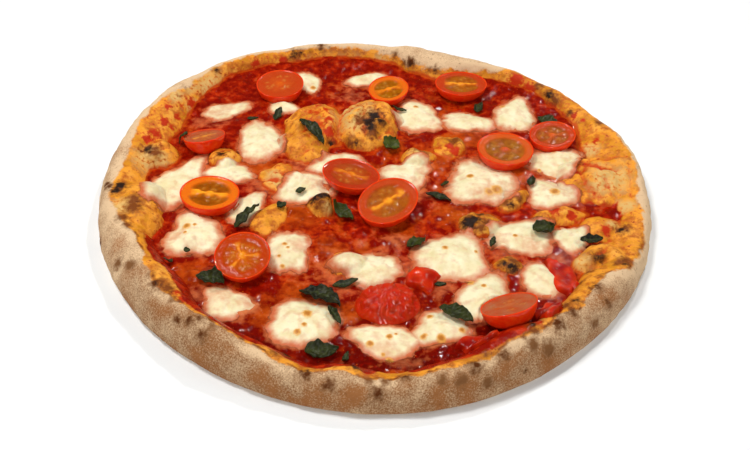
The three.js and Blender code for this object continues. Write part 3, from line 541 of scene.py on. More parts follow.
def blister_height(places, x, y):
    """Half ellipsoids that stand on the base, at plan points that noise has pushed about."""
    plan = stack(x, y, 0)
    plan = plan + 2.2 * sideways(plan, 12, 3) + 0.6 * sideways(plan, 4.5, 5)
    top = np.full(np.shape(x), float(BASE))
    for place in places:
        u, v = inside(place, plan[..., 0], plan[..., 1])
        dome = BASE + (place[5] - BASE) * np.sqrt(np.maximum(0, 1 - u * u - v * v))
        top = blend_max(top, dome, BLISTER_FILLET)
    return top


def dough_height(x, y):
    """Top of the dough over the plan, without its fine relief."""
    bearing = np.arctan2(y, x)
    wall = wall_height(bearing, outline(bearing) - np.hypot(x, y))
    return blend_max(wall, blister_height(BLISTERS, x, y), RIM_FILLET)


def dough_relief(points):
    """Fine relief of the dough: three sizes of noise, as shares of the largest."""
    return noise(points, 14, 1) + 0.6 * noise(points, 6, 2) + 0.28 * noise(points, 2.8, 3)


def sauce_height(x, y):
    """Sauce level: slow ripples, low bumps, and a climb towards the low lip at the back."""
    ripples = sum(size * np.sin(u * x + v * y + phase) for size, u, v, phase in RIPPLES)
    climb = CLIMB * ease(np.hypot(x, y), 112, 138) * ease(y, 40, 110)
    return blend_max(SAUCE + ripples + climb, blister_height(BUMPS, x, y), SAUCE_FILLET)


def sauce_relief(points):
    """Lumps of pulp in the sauce: round folds over two sizes of noise."""
    lumps = 0.8 * noise(points, 9, 4) + 0.35 * (folds(points, 7, 5) - 0.5)
    return lumps + 0.4 * noise(points, 3.5, 6)


def ground_height(x, y, relief=False):
    """Surface that the toppings lie on, with or without its fine relief."""
    dough = dough_height(x, y)
    sauce = sauce_height(x, y)
    if relief:
        dough = dough + DOUGH_RELIEF * dough_relief(stack(x, y, dough))
        sauce = sauce + SAUCE_RELIEF * sauce_relief(stack(x, y, 0))
    return np.maximum(dough, sauce)


def patch_reach(patch, angle):
    """Reach of a melted patch at an angle round it, as a share of its half sizes."""
    return 1 + sum(share * np.cos(count * (angle - np.radians(bulge)))
                   for count, share, bulge in patch[6])


def patch_share(patch, x, y):
    """Share of the way from a patch's middle to its melted outline at plan points."""
    u, v = inside(patch, x, y)
    return np.hypot(u, v) / patch_reach(patch, np.arctan2(v, u))


def patch_height(patch, x, y, ground):
    """Top of a patch over the plan, or minus infinity beside it."""
    share = patch_share(patch, x, y)
    thickness = lerp(CHEESE_EDGE, patch[5], 1 - share ** 3)
    return np.where(share < 1, ground + thickness, -np.inf)


def cut_face_height(tomato, x, y):
    """Plane of a tomato's cut face over the plan, or minus infinity beside it."""
    rise, tilt, to = tomato[5:8]
    lean = np.radians(to)
    away = (x - tomato[0]) * np.cos(lean) + (y - tomato[1]) * np.sin(lean)
    within = np.hypot(*inside(tomato, x, y)) < 1
    return np.where(within, rise - np.tan(np.radians(tilt)) * away, -np.inf)


def topping_height(x, y):
    """Highest of ground, cheese and tomatoes over the plan."""
    ground = ground_height(x, y)
    tops = [ground]
    tops += [patch_height(patch, x, y, ground) for patch in CHEESE]
    tops += [cut_face_height(tomato, x, y) for tomato in TOMATOES if tomato[8]]
    return np.max(tops, axis=0)


def marked(points, marks, spread=1):
    """Field that is 1 in the middle of each mark on the dough, a half at its radius and 0 well
    outside it. Small marks are weaker. The spread multiplies every radius."""
    field = np.zeros(len(points))
    for x, y, radius in marks:
        bearing = np.arctan2(y, x)
        inset = outline(bearing) - np.hypot(x, y)
        outside = inset < rim(bearing)[1]
        top = wall_height(bearing, inset) if outside else dough_height(x, y)
        away = np.linalg.norm(points - [x, y, float(top)], axis=1) / (spread * radius)
        strength = lerp(0.66, 1, ease(spread * radius, 1.6, 3))
        field = np.maximum(field, strength * bell(away))
    return field


def soft_spots(x, y, spots):
    """Field over the plan that is 1 in the middle of each spot and a half at its radius."""
    field = np.zeros(np.shape(x))
    for at_x, at_y, radius in spots:
        field = np.maximum(field, bell(np.hypot(x - at_x, y - at_y) / radius))
    return field


# ------------------------------------------------------------------ colours and materials

def linear(colour):
    """Linear red, green and blue of an sRGB hex colour."""
    srgb = np.array([int(colour[k:k + 2], 16) for k in (0, 2, 4)]) / 255
    return np.where(srgb <= 0.04045, srgb / 12.92, ((srgb + 0.055) / 1.055) ** 2.4).tolist()


def per_metre(size):
    """Scale of a pattern whose features are the given size in mm."""
    return 1 / (size * MM)


def add(tree, kind, inputs=None, out=0, **settings):
    """Adds a node with its settings, links sockets or sets values, and returns an output."""
    new = tree.nodes.new(kind)
    for setting, value in settings.items():
        setattr(new, setting, value)
    for socket, value in (inputs or {}).items():
        if isinstance(value, bpy.types.NodeSocket):
            tree.links.new(value, new.inputs[socket])
        else:
            new.inputs[socket].default_value = value
    return new.outputs[out] if new.outputs else None


def start_material(name, patterns):
    """Empty material with noise patterns on Object coordinates, as {name: (size in mm, detail)}."""
    material = bpy.data.materials.new(name)
    material.use_nodes = True
    tree = material.node_tree
    tree.nodes.clear()
    place = add(tree, "ShaderNodeTexCoord", out=3)
    noises = {
        pattern: add(tree, "ShaderNodeTexNoise",
                     {"Vector": place, "Scale": per_metre(size), "Detail": detail})
        for pattern, (size, detail) in patterns.items()
    }
    return material, tree, noises


def torn_masks(tree, rows):
    """Masks from point fields: each row gives the field, a pattern that tears its edge, how far
    the pattern moves it, and the width of the edge."""
    masks = {}
    for field, pattern, reach, width in rows:
        value = add(tree, "ShaderNodeAttribute", out=2, attribute_name=field)
        torn = add(tree, "ShaderNodeMath", {0: pattern, 1: reach, 2: value},
                   operation="MULTIPLY_ADD")
        middle = 0.5 + 0.5 * reach
        masks[field] = add(tree, "ShaderNodeMapRange",
                           {0: torn, 1: middle - width, 2: middle + width})
    return masks


def mixed(tree, base, layers):
    """Colour built up from a base by layers of (mask, colour)."""
    for mask, colour in layers:
        colour = colour if isinstance(colour, bpy.types.NodeSocket) else (*colour, 1)
        base = base if isinstance(base, bpy.types.NodeSocket) else (*base, 1)
        base = add(tree, "ShaderNodeMix", {0: mask, 6: base, 7: colour}, 2, data_type="RGBA")
    return base


def end_material(tree, height, depth, **values):
    """Shader and output, with fine relief of the given depth in mm from a height pattern."""
    normal = add(tree, "ShaderNodeBump", {"Height": height, "Distance": depth * MM})
    inputs = {name.replace("_", " "): value for name, value in values.items()}
    shader = add(tree, "ShaderNodeBsdfPrincipled", {**inputs, "Normal": normal})
    add(tree, "ShaderNodeOutputMaterial", {"Surface": shader})


def fired_wheat_dough(look):
    """Wheat dough blistered in a hot oven: golden with browned and burnt spots, stained by the
    sauce, and under flour on the rim. Painted shade darkens its hollows and creases and the front
    of the floured rim, and painted light brightens its crests and the back and upper left lips.
    Matt, with the grain of flour."""
    # Flour grains are about 0.1 mm across, too fine to show, so they are drawn at 0.7 mm.
    material, tree, noises = start_material("fired_wheat_dough", {
        "blotch": (13, 5), "mottle": (5, 5), "grain": (0.7, 2), "fleck": (2.2, 3)})
    masks = torn_masks(tree, [
        ("flour", noises["fleck"], 0.7, 0.14), ("toast", noises["fleck"], 1.3, 0.35),
        ("char", noises["fleck"], 1.4, 0.3), ("pale", noises["mottle"], 1.0, 0.35),
        ("stain", noises["mottle"], 1.2, 0.3), ("pulp", noises["fleck"], 1.4, 0.2),
        ("splash", noises["fleck"], 2.4, 0.35), ("valley", noises["fleck"], 0.9, 0.35),
        ("ridge_highlight", noises["fleck"], 0.9, 0.35), ("smear", noises["fleck"], 0.8, 0.3)])
    blotches = add(tree, "ShaderNodeMapRange", {0: noises["blotch"], 1: 0.36, 2: 0.66})
    mottling = add(tree, "ShaderNodeMapRange", {0: noises["mottle"], 1: 0.46, 2: 0.66})
    riper = add(tree, "ShaderNodeMapRange", {0: noises["blotch"], 1: 0.5, 2: 0.6})
    paler = add(tree, "ShaderNodeMapRange", {0: noises["blotch"], 1: 0.46, 2: 0.34})
    lighter = add(tree, "ShaderNodeMapRange", {0: noises["fleck"], 1: 0.5, 2: 0.72})
    bare = mixed(tree, look.golden, [
        (riper, look.ochre), (paler, look.bright), (mottling, look.baked),
        # The pale mask holds real pale dough and painted light on the back and upper left lips.
        (masks["pale"], look.pale), (lighter, look.bright),
        # Painted light: the mask on the crests of the craggy dough paints a highlight in the bright
        # colour, and the valley mask paints shade in its hollows and creases in the stained colour.
        (masks["ridge_highlight"], look.bright), (masks["valley"], look.stained),
        (masks["stain"], look.stained),
        (masks["splash"], look.pulp), (masks["pulp"], look.pulp),
        (masks["smear"], mixed(tree, look.smeared, [(mottling, look.pulp)]))])
    # The white share sets how much flour shows, and it also carries painted shade on the front of the
    # rim.
    share = add(tree, "ShaderNodeAttribute", out=2, attribute_name="white")
    dusting = add(tree, "ShaderNodeMath", {0: noises["blotch"], 1: 1.2, 2: share},
                  operation="MULTIPLY_ADD")
    dusting = add(tree, "ShaderNodeMath", {0: noises["grain"], 1: 1.1, 2: dusting},
                  operation="MULTIPLY_ADD")
    dusting = add(tree, "ShaderNodeMapRange", {0: dusting, 1: 1.34, 2: 2.0})
    floured = mixed(tree, look.floured, [
        (blotches, look.browned_flour), (dusting, look.flour)])
    browned = mixed(tree, look.toasted, [(masks["flour"], look.browned_flour)])
    dulled = add(tree, "ShaderNodeMath", {0: masks["flour"], 1: 0.4}, operation="MULTIPLY")
    burnt = mixed(tree, look.charred, [(dulled, look.toasted)])
    shade = mixed(tree, bare, [
        (masks["flour"], floured), (masks["toast"], browned), (masks["char"], burnt)])
    roughness = add(tree, "ShaderNodeMapRange", {0: masks["flour"], 3: 0.5, 4: 0.95})
    roughness = add(tree, "ShaderNodeMix", {0: masks["smear"], 2: roughness, 3: 0.22})
    height = add(tree, "ShaderNodeMath", {0: noises["grain"], 1: 0.4, 2: noises["fleck"]},
                 operation="MULTIPLY_ADD")
    end_material(tree, height, 0.45, Base_Color=shade, Roughness=roughness,
                 Specular_IOR_Level=0.12)
    return material


def cooked_tomato_sauce(look):
    """Crushed tomato cooked down: deep glossy red with brighter pulp, orange in its seeds and
    where oil or dough shows through, and paler where milk of the cheese has run into it. It is
    darker towards the front and round the outside, partly thicker there and partly painted shade."""
    material, tree, noises = start_material("cooked_tomato_sauce", {
        "pool": (16, 4), "lump": (5, 4), "shred": (2.4, 3), "seed": (1.3, 2)})
    masks = torn_masks(tree, [
        ("oil", noises["lump"], 1.4, 0.4), ("milk", noises["lump"], 1.2, 0.35),
        ("shade", noises["pool"], 1, 0.5)])
    bright = add(tree, "ShaderNodeMapRange", {0: noises["lump"], 1: 0.42, 2: 0.64})
    shreds = add(tree, "ShaderNodeMapRange", {0: noises["shred"], 1: 0.5, 2: 0.7})
    seeds = add(tree, "ShaderNodeMapRange", {0: noises["seed"], 1: 0.68, 2: 0.76})
    # The shade mask darkens the sauce towards the front and round the outside: partly thicker sauce,
    # partly painted shade.
    shade = mixed(tree, look.red, [
        (bright, look.pulp), (masks["shade"], look.deep),
        (shreds, look.red), (masks["oil"], look.oil),
        (seeds, look.oil), (masks["milk"], look.milk)])
    roughness = add(tree, "ShaderNodeMapRange", {0: noises["seed"], 3: 0.08, 4: 0.22})
    height = add(tree, "ShaderNodeMath", {0: noises["shred"], 1: noises["lump"]}, operation="ADD")
    end_material(tree, height, 0.45, Base_Color=shade, Roughness=roughness,
                 Subsurface_Weight=0.1, Subsurface_Scale=0.0015,
                 Subsurface_Radius=(1, 0.1, 0.05), IOR=1.34, Specular_IOR_Level=0.05,
                 Coat_Weight=0.14, Coat_Roughness=0.04)
    return material


def melted_mozzarella(look):
    """Fresh mozzarella melted and set again: cream white and soft inside, tinted by the sauce
    where it thins out, see-through at its very edge, and with browned bubbles. Satin."""
    material, tree, noises = start_material("melted_mozzarella", {
        "curd": (7, 3), "pore": (1.5, 3), "edge": (4, 2)})
    masks = torn_masks(tree, [
        ("thin", noises["edge"], 1.2, 0.45), ("film", noises["edge"], 1.2, 0.5),
        ("edge", noises["edge"], 1.2, 0.2),
        ("toast", noises["pore"], 0.5, 0.2), ("scorch", noises["pore"], 0.5, 0.2)])
    curds = add(tree, "ShaderNodeMapRange", {0: noises["curd"], 1: 0.38, 2: 0.7})
    cover = add(tree, "ShaderNodeMapRange", {0: masks["edge"], 3: 1, 4: 0})
    shade = mixed(tree, look.cream, [
        (curds, look.curd), (masks["thin"], look.thin),
        (masks["film"], look.film),
        (masks["toast"], look.toasted), (masks["scorch"], look.scorched)])
    roughness = add(tree, "ShaderNodeMapRange", {0: noises["pore"], 3: 0.28, 4: 0.5})
    end_material(tree, noises["pore"], 0.12, Base_Color=shade, Roughness=roughness, Alpha=cover,
                 Subsurface_Weight=0.3, Subsurface_Scale=0.0025,
                 Subsurface_Radius=(1, 0.7, 0.45), IOR=1.36, Specular_IOR_Level=0.35)
    return material


def roast_cherry_tomato(look):
    """Cherry tomato roasted in the oven: tight glossy red skin, duller flesh at the cut, and
    wet gel round the seeds, more golden in some halves than in others."""
    material, tree, noises = start_material("roast_cherry_tomato", {
        "flesh": (3, 3), "fibre": (0.9, 2)})
    amounts = {
        field: add(tree, "ShaderNodeAttribute", out=2, attribute_name=field)
        for field in ("cut", "chamber", "core", "seed", "gold", "gel_gold", "stewed", "veil")}
    streaks = add(tree, "ShaderNodeMapRange", {0: noises["flesh"], 1: 0.35, 2: 0.7})
    pale = add(tree, "ShaderNodeMapRange", {0: noises["fibre"], 1: 0.5, 2: 0.85})
    skin = mixed(tree, look.skin, [
        (streaks, look.skin_light), (amounts["stewed"], look.stewed)])
    flesh = mixed(tree, look.flesh, [
        (amounts["gold"], look.gold), (pale, look.flesh_light),
        (amounts["stewed"], look.stewed)])
    gel = mixed(tree, look.gel, [
        (amounts["gel_gold"], look.gel_ripe), (streaks, look.gel_deep)])
    shade = mixed(tree, skin, [
        (amounts["cut"], flesh), (amounts["chamber"], gel), (amounts["core"], look.core),
        (amounts["seed"], look.seed), (amounts["veil"], look.veil)])
    roughness = add(tree, "ShaderNodeMapRange", {0: amounts["cut"], 3: 0.1, 4: 0.2})
    roughness = add(tree, "ShaderNodeMix", {0: amounts["chamber"], 2: roughness, 3: 0.06})
    wet = add(tree, "ShaderNodeMapRange", {0: amounts["cut"], 3: 0.5, 4: 0.06})
    end_material(tree, noises["fibre"], 0.1, Base_Color=shade, Roughness=roughness,
                 Subsurface_Weight=0.3, Subsurface_Scale=0.003,
                 Subsurface_Radius=(1, 0.2, 0.08), IOR=1.36, Specular_IOR_Level=0.1,
                 Coat_Weight=wet, Coat_Roughness=0.04)
    return material


def wilted_basil(look):
    """Basil wilted by the heat: nearly black green with paler veins and an oily sheen."""
    material, tree, noises = start_material("wilted_basil", {"patch": (3.5, 3), "cell": (0.8, 2)})
    vein = add(tree, "ShaderNodeAttribute", out=2, attribute_name="vein")
    patches = add(tree, "ShaderNodeMapRange", {0: noises["patch"], 1: 0.45, 2: 0.68})
    fresh = add(tree, "ShaderNodeAttribute", out=2, attribute_name="fresh")
    shade = mixed(tree, look.dark, [
        (patches, look.green), (fresh, look.fresh), (vein, look.vein)])
    end_material(tree, noises["cell"], 0.15, Base_Color=shade, Roughness=0.4,
                 Specular_IOR_Level=0.16)
    return material


def matt_floor(look):
    """Painted studio table: pale and matt, with the least unevenness."""
    material, tree, noises = start_material("matt_floor", {"cloud": (180, 2)})
    tone = add(tree, "ShaderNodeMapRange", {0: noises["cloud"], 3: 0.98, 4: 1})
    shade = add(tree, "ShaderNodeMix", {0: 1.0, 6: (*look.floor, 1), 7: tone}, 2,
                data_type="RGBA", blend_type="MULTIPLY")
    end_material(tree, noises["cloud"], 0.05, Base_Color=shade, Roughness=0.9)
    return material


# ------------------------------------------------------------------ pieces

DOUGH_RINGS = (98, 22, 24, 6)  # rings of points over the base, down the lip, face and foot
SAUCE_RINGS = 128
PATCH_GRID = (96, 24)          # points round a patch, and rows from its middle to its edge
TOMATO_GRID = (112, 32, 20)    # points round a tomato, rows over its face, rows down its skin
LEAF_GRID = (28, 14)           # steps along a leaf and across it
# The chambers of a tomato start to sink and are sunk, start to rise and are level again at these
# shares of the way from its middle to its skin.
CHAMBER_START = (0.06, 0.26)
CHAMBER_END = (0.62, 0.78)
SEEDS = 5                      # seeds in a chamber
SEED = (1.15, 0.75)            # half length and half width of a seed in mm
SCRAP_GREEN = 0.15             # share of a scrap that stayed green
SCRAP_SINK = 0.8               # scraps lie this much closer to what is under them, in mm
LEAF_FOOTING = 1.5             # a leaf rests on whatever is highest this near, in mm
LEAF_PASSES = 60               # passes of smoothing that lift a leaf over the hollows under it


def dough_points():
    """Grid over the dough: rings go out over the base, up the lip to the crest, down the outer
    quarter ellipse to the waist and round a smaller quarter ellipse to the foot. The lean is the
    way that relief is pushed: up on top of the dough, and out on its face."""
    ring, bearing, quads, border = disc_grid(sum(DOUGH_RINGS))
    flat, lip, face, foot = DOUGH_RINGS
    crest, crest_inset, lip_inset = rim(bearing)
    radius = outline(bearing)
    angle = np.pi / 2 * np.clip(1 - (ring - flat - lip) / face, 0, 1)
    under = np.pi / 2 * np.clip((ring - flat - lip - face) / foot, 0, 1)
    on_base, on_top, on_face = ring <= flat, ring <= flat + lip, ring <= flat + lip + face
    inset = np.select([on_base, on_top, on_face], [
        lerp(radius, lip_inset, ring / flat), lerp(lip_inset, crest_inset, (ring - flat) / lip),
        crest_inset * (1 - np.cos(angle))], FOOT_INSET * (1 - np.cos(under)))
    x, y = (radius - inset) * np.cos(bearing), (radius - inset) * np.sin(bearing)
    z = np.select([on_top, on_face], [
        wall_height(bearing, inset), lerp(WAIST, crest, np.sin(angle))], WAIST * (1 - np.sin(under)))
    high = ring <= flat + lip + face // 3
    z = np.where(high, blend_max(z, blister_height(BLISTERS, x, y), RIM_FILLET), z)
    outward, upward = np.where(on_top, 0, np.cos(angle)), np.where(on_top, 1, np.sin(angle))
    lean = stack(outward * np.cos(bearing), outward * np.sin(bearing), upward)
    return stack(x, y, z), bearing, inset, lean, quads, border


def crease_depth(x, y):
    """Depth of the creases at plan points: a bell across each straight stretch."""
    deep = np.zeros(np.shape(x))
    for from_x, from_y, to_x, to_y, width, depth in CREASES:
        run_x, run_y = to_x - from_x, to_y - from_y
        share = ((x - from_x) * run_x + (y - from_y) * run_y) / (run_x ** 2 + run_y ** 2)
        share = np.clip(share, 0, 1)
        away = np.hypot(x - from_x - share * run_x, y - from_y - share * run_y) / width
        deep = np.maximum(deep, depth * np.exp(-away * away))
    return deep


def dough_crumple(points):
    """Crumple of the craggy stretches, made of three sizes of noise, two of them bent, and of
    sharp valleys between folds, and the depth of the creases, which wander. Both are in mm."""
    bent = points + 3 * sideways(points, 15, 3)
    lumps = 1.6 * noise(bent, 13, 7) + 1.2 * noise(bent, 6.5, 8) + 0.55 * noise(points, 3.2, 9)
    valleys = 2 * (folds(bent, 12, 8) - 0.85)
    wandering = points + 1.3 * sideways(points, 7, 5)
    crags = soft_spots(points[:, 0], points[:, 1], CRAGGED)
    return crags * (lumps + valleys), crease_depth(wandering[:, 0], wandering[:, 1])


def make_dough(look):
    """Crust with its relief pushed out along the lean of the surface, and its fields."""
    points, bearing, inset, lean, quads, border = dough_points()
    x, y, z = points.T
    wander = noise(points, 7, 5)
    above = z - sauce_height(x, y)
    crumple, deep = (depth * (above > 0) for depth in dough_crumple(points))

    # Flour ends at a ragged edge, which has browned at the front, and is whitest just inside it.
    edge = eased_round(FLOUR, 1, bearing) + 1.2 * noise(points, 7, 8) + 0.5 * noise(points, 3, 9)
    flour = np.clip(0.5 + (edge - inset) / FLOUR_FADE, 0, 1)
    bare = 1 - flour
    front = ease(-np.sin(bearing), 0.1, 0.45)
    browned_edge = front * np.exp(-((inset - edge - 0.6) / 0.9) ** 2) * ease(wander, -0.4, 0.3)
    dusted = np.exp(-((edge - inset - 2) / 2.5) ** 2) * (0.35 + 0.35 * noise(points, 22, 5))
    # The white share by bearing is partly painted shade: it is lower on the front of the rim.
    white = eased_round(FLOUR, 2, bearing) + dusted + 0.4 * (1 - ease(z, 0.3, 1.6))

    # Sauce is smeared on the lip, but not on the blisters that stand out of it.
    on_lip = 1 - ease(blister_height(BLISTERS, x, y), BASE + 1.5, BASE + 3)
    smear = on_lip * ease(inset - eased_round(LIP, 1, bearing) + 1.2 * wander, -0.8, 1.6)

    # Burnt places have swollen on the rim, flour stands proud, and nothing moves at the foot.
    burnt = np.minimum(1.15 * marked(points, CHAR), 1)
    swell = 0.7 * burnt * (inset < RIM_WIDTH) + 0.5 * flour - 0.25 + 0.5 * smear * wander
    push = look.relief / MM * dough_relief(points) + crumple - deep + swell
    shape = points + lean * (push * ease(z, 0.3, WAIST))[:, None]
    fields = {
        "flour": flour,
        "toast": np.max([marked(points, TOAST), 0.85 * browned_edge,
                         0.75 * marked(points, CHAR, 1.9)], axis=0),
        "char": burnt,
        # The pale field holds real pale dough and painted light on the back and upper left lips.
        "pale": marked(points, PALE_AND_LIT_PLACES, 1.5),
        "pulp": marked(points, PULP),
        # The valley field is painted shade in the hollows and creases of the bare dough; the crest
        # field after it is a painted highlight.
        "valley": bare * np.maximum(ease(-crumple, 0.2, 2.4), 0.6 * ease(deep, 0.3, 2.6)),
        "smear": bare * smear,
        "ridge_highlight": bare * ease(crumple, 0.3, 1.8),
        "splash": bare * 0.29 * soft_spots(x, y, SPLASHED),
        "stain": bare * np.clip(1 - (above - 0.2) / 1.7, 0, 1),
        "white": np.clip(0.95 * white, 0, 1),
    }
    shape, fields, below = closed_below(shape, fields, border, [(0.66, 0), (0.33, 0)])
    new_piece("pizza_dough", shape, [quads, *below], fired_wheat_dough(look), "crust",
              fields)


def make_sauce(look):
    """Sauce with lumps of pulp over its slow ripples, closed by a flat face in the dough."""
    ring, bearing, quads, border = disc_grid(SAUCE_RINGS)
    _, crest_inset, lip_inset = rim(bearing)
    radius = (outline(bearing) - crest_inset - 1) * ring / SAUCE_RINGS
    x, y = radius * np.cos(bearing), radius * np.sin(bearing)
    z = sauce_height(x, y) + look.relief / MM * sauce_relief(stack(x, y, 0))
    nearest = np.min([patch_share(patch, x, y) for patch in CHEESE], axis=0)
    milk = np.maximum(0.75 * (1 - ease(nearest, 0.85, 1.3)), 0.42 * soft_spots(x, y, MILK))
    # Thin sauce is oily, but not along the lip that it is smeared on.
    smeared = ease(lip_inset - eased_round(LIP, 1, bearing), 0, 5)
    smeared = smeared * ease(lip_inset + 8 - outline(bearing) + radius, 0, 6)
    oil = 0.8 * (1 - ease(z - dough_height(x, y), -0.5, 2.6)) * (1 - smeared)
    oil = np.maximum(oil, 0.6 * soft_spots(x, y, OIL))
    # It is darker at the front and round the outside: partly deeper sauce there, partly painted
    # shade.
    deep = ease(-y, 60, 125) * 0.6 + ease(np.hypot(x, y), 70, 120) * 0.25
    fields = {"milk": milk, "oil": oil, "shade": deep * (1 - oil)}
    shape, fields, below = closed_below(stack(x, y, z), fields, border, [(1, SKIRT)])
    new_piece("tomato_sauce", shape, [quads, *below], cooked_tomato_sauce(look), "sauce",
              fields)


def melted(height, share):
    """Thickness of melted cheese: it thins out to nothing at the outline."""
    return height * np.maximum(0, 1 - share ** 1.9) ** 1.5


def torn(height, share):
    """Thickness of a torn piece: a low dome with a blunt edge."""
    return lerp(CHUNK_EDGE, height, 1 - share ** 2) * (1 - ease(share, 0.76, 1))


def patch_points(patch, profile, reach_by, ragged, bumps, sink):
    """Patch on the ground: rows of points run out from its crown to a ragged outline, where it
    sinks below the ground, and back under it. The profile gives its thickness."""
    around, rows = PATCH_GRID
    share = np.concatenate([np.arange(1, rows + 1) / rows, [0.8, 0.4]])[:, None]
    angle = (TURN * np.arange(around) / around)[None]
    circle = stack(9 * np.cos(angle), 9 * np.sin(angle), patch[0] * 0.7 + patch[1] * 0.9)
    lobes = ragged * (noise(circle, 6, 1) + 0.6 * noise(circle, 2.6, 2))
    reach = share * (reach_by * patch_reach(patch, angle) + lobes * ease(share, 0.2, 1))
    x, y = on_piece(patch, reach * np.cos(angle), reach * np.sin(angle))
    x, y = (np.concatenate([[at], value.ravel(), [at]]) for at, value in zip(patch, (x, y)))
    shares = np.concatenate([[0], np.repeat(share[:, 0], around), [0]])
    under = np.arange(len(x)) > rows * around
    plan = stack(x, y, 0)
    lumps = bumps * (noise(plan, 7, 7) + 0.5 * noise(plan, 3.2, 8))
    drop = ease(shares, 0.8, 1)
    thickness = profile(patch[5], shares) + lumps * (1 - drop)
    smooth, rough = ground_height(x, y), ground_height(x, y, relief=True)
    top = lerp(smooth, rough - sink, drop) + thickness
    z = np.where(under, rough - 1.5 * sink, top)
    return stack(x, y, z), shares, under, polar_faces(around, len(share))


def make_cheese(look):
    """Mozzarella patches, each over its own solid."""
    material = melted_mozzarella(look)
    for number, patch in enumerate(CHEESE, 1):
        points, shares, under, faces = patch_points(
            patch, melted, reach_by=1.22, ragged=0.13, bumps=0.4, sink=0.2)
        x, y, z = points.T
        held = np.min([np.hypot(*inside(tomato, x, y)) for tomato in TOMATOES], axis=0) < 1
        z = np.where(held & ~under, np.minimum(z, ground_height(x, y) + 0.4), z)
        veil, toast = soft_spots(x, y, VEILS), soft_spots(x, y, CHEESE_TOAST)
        swell = 0.35 * ease(toast, 0.2, 0.7) - 0.8 * veil * (1 - shares) ** 0.5
        points = stack(x, y, z + np.where(under, 0, swell))
        weak = 0.15 if patch[5] < THIN_PATCH else 0
        # On its way out the cheese thins, then is only a film, and then ends.
        fields = {"thin": np.maximum(lerp(weak - 0.6, 1.1, ease(shares, 0.35, 0.9)), veil),
                  "film": np.maximum(lerp(weak - 0.8, 1.2, ease(shares, 0.42, 0.93)), 0.3 * veil),
                  "edge": lerp(-0.2, 0.85, ease(shares, 0.74, 0.98)),
                  "toast": toast, "scorch": 0.8 * toast ** 2}
        new_piece(f"mozzarella_patch_{number:02d}", points, faces, material,
                  f"mozzarella_{number:02d}", fields)


def make_chunks():
    """Torn pieces of tomato, folded and glossy."""
    material = bpy.data.materials["roast_cherry_tomato"]
    for number, chunk in enumerate(CHUNKS, 1):
        chunk = (*chunk, [(3, 0.1, 40 * number), (4, 0.07, 10 * number)])
        points, _, under, faces = patch_points(
            chunk, torn, reach_by=1.03, ragged=0.14, bumps=0.8, sink=1)
        points[:, 2] += np.where(under, 0, 0.8 * (folds(points, 9, number) - 0.6))
        fields = {"cut": 0.15 * ease(noise(points, 5, 3), 0, 0.5),
                  "stewed": np.clip(0.65 + 0.5 * noise(points, 6, 4), 0.2, 1)}
        new_piece(f"tomato_piece_{number:02d}", points, faces, material,
                  f"tomato_chunk_{number:02d}", fields)


def cut_face(tomato, share, angle, draw):
    """Cut face over shares of its half sizes: flesh that sags inside the skin, chambers whose
    depth follows the root of a sine round the face, gel that swells in them, and seeds as
    small bell bumps. Gives height, chamber, core and seed."""
    chambers, (_, core_share, _, openness, _, _) = tomato[8:10]
    if not chambers:
        flat = 0 * share * angle
        return flat, flat, flat, flat
    length, width = tomato[2:4]
    x, y = share * np.cos(angle) * length, share * np.sin(angle) * width
    plan = stack(x, y, tomato[0])
    bent = angle + 0.3 * noise(plan, 6, 2) * ease(share, 0.1, 0.5)
    septum = np.abs(np.sin(chambers * bent / 2)) ** 0.6
    window = ease(share, *CHAMBER_START) * (1 - ease(share, *CHAMBER_END))
    sunk = 0.85 * (1 - min(1.6 * core_share, 1))
    chamber = window * np.maximum(ease(septum, 0.32, 0.72), sunk)
    core = (1 - ease(share, 0.5, 0.68)) * (1 - ease(septum, 0.3, 0.62))
    core = np.maximum(core, 1 - ease(share, 0.1, 0.24)) * (1 - chamber)
    seeds = np.zeros(np.shape(chamber))
    for middle in np.arange(chambers) * TURN / chambers + np.pi / chambers:
        for _ in range(SEEDS):
            at = middle + draw.uniform(-0.75, 0.75) * np.pi / chambers * 0.8
            out, lie = draw.uniform(0.28, 0.6), draw.uniform(0, np.pi)
            seed = (out * np.cos(at) * length, out * np.sin(at) * width, *SEED, np.degrees(lie))
            long, wide = inside(seed, x, y)
            seeds = np.maximum(seeds, np.exp(-long * long - wide * wide))
    seeds = seeds * chamber
    chamber = chamber * openness
    core = np.clip(core * core_share * (0.8 + 0.6 * noise(plan, 2.5, 6)), 0, 1)
    sag = -0.35 * ease(share, 0.5, 0.9) + 0.55 * ease(share, 0.93, 1)
    relief = 0.13 * noise(plan, 3.4, 3) + 0.08 * noise(plan, 1.5, 4)
    swell = 0.25 * noise(plan, 4, 5) * chamber
    height = sag + relief * (1 - ease(share, 0.9, 1)) + swell - CHAMBER * chamber
    return height + 0.35 * seeds, chamber, core, seeds


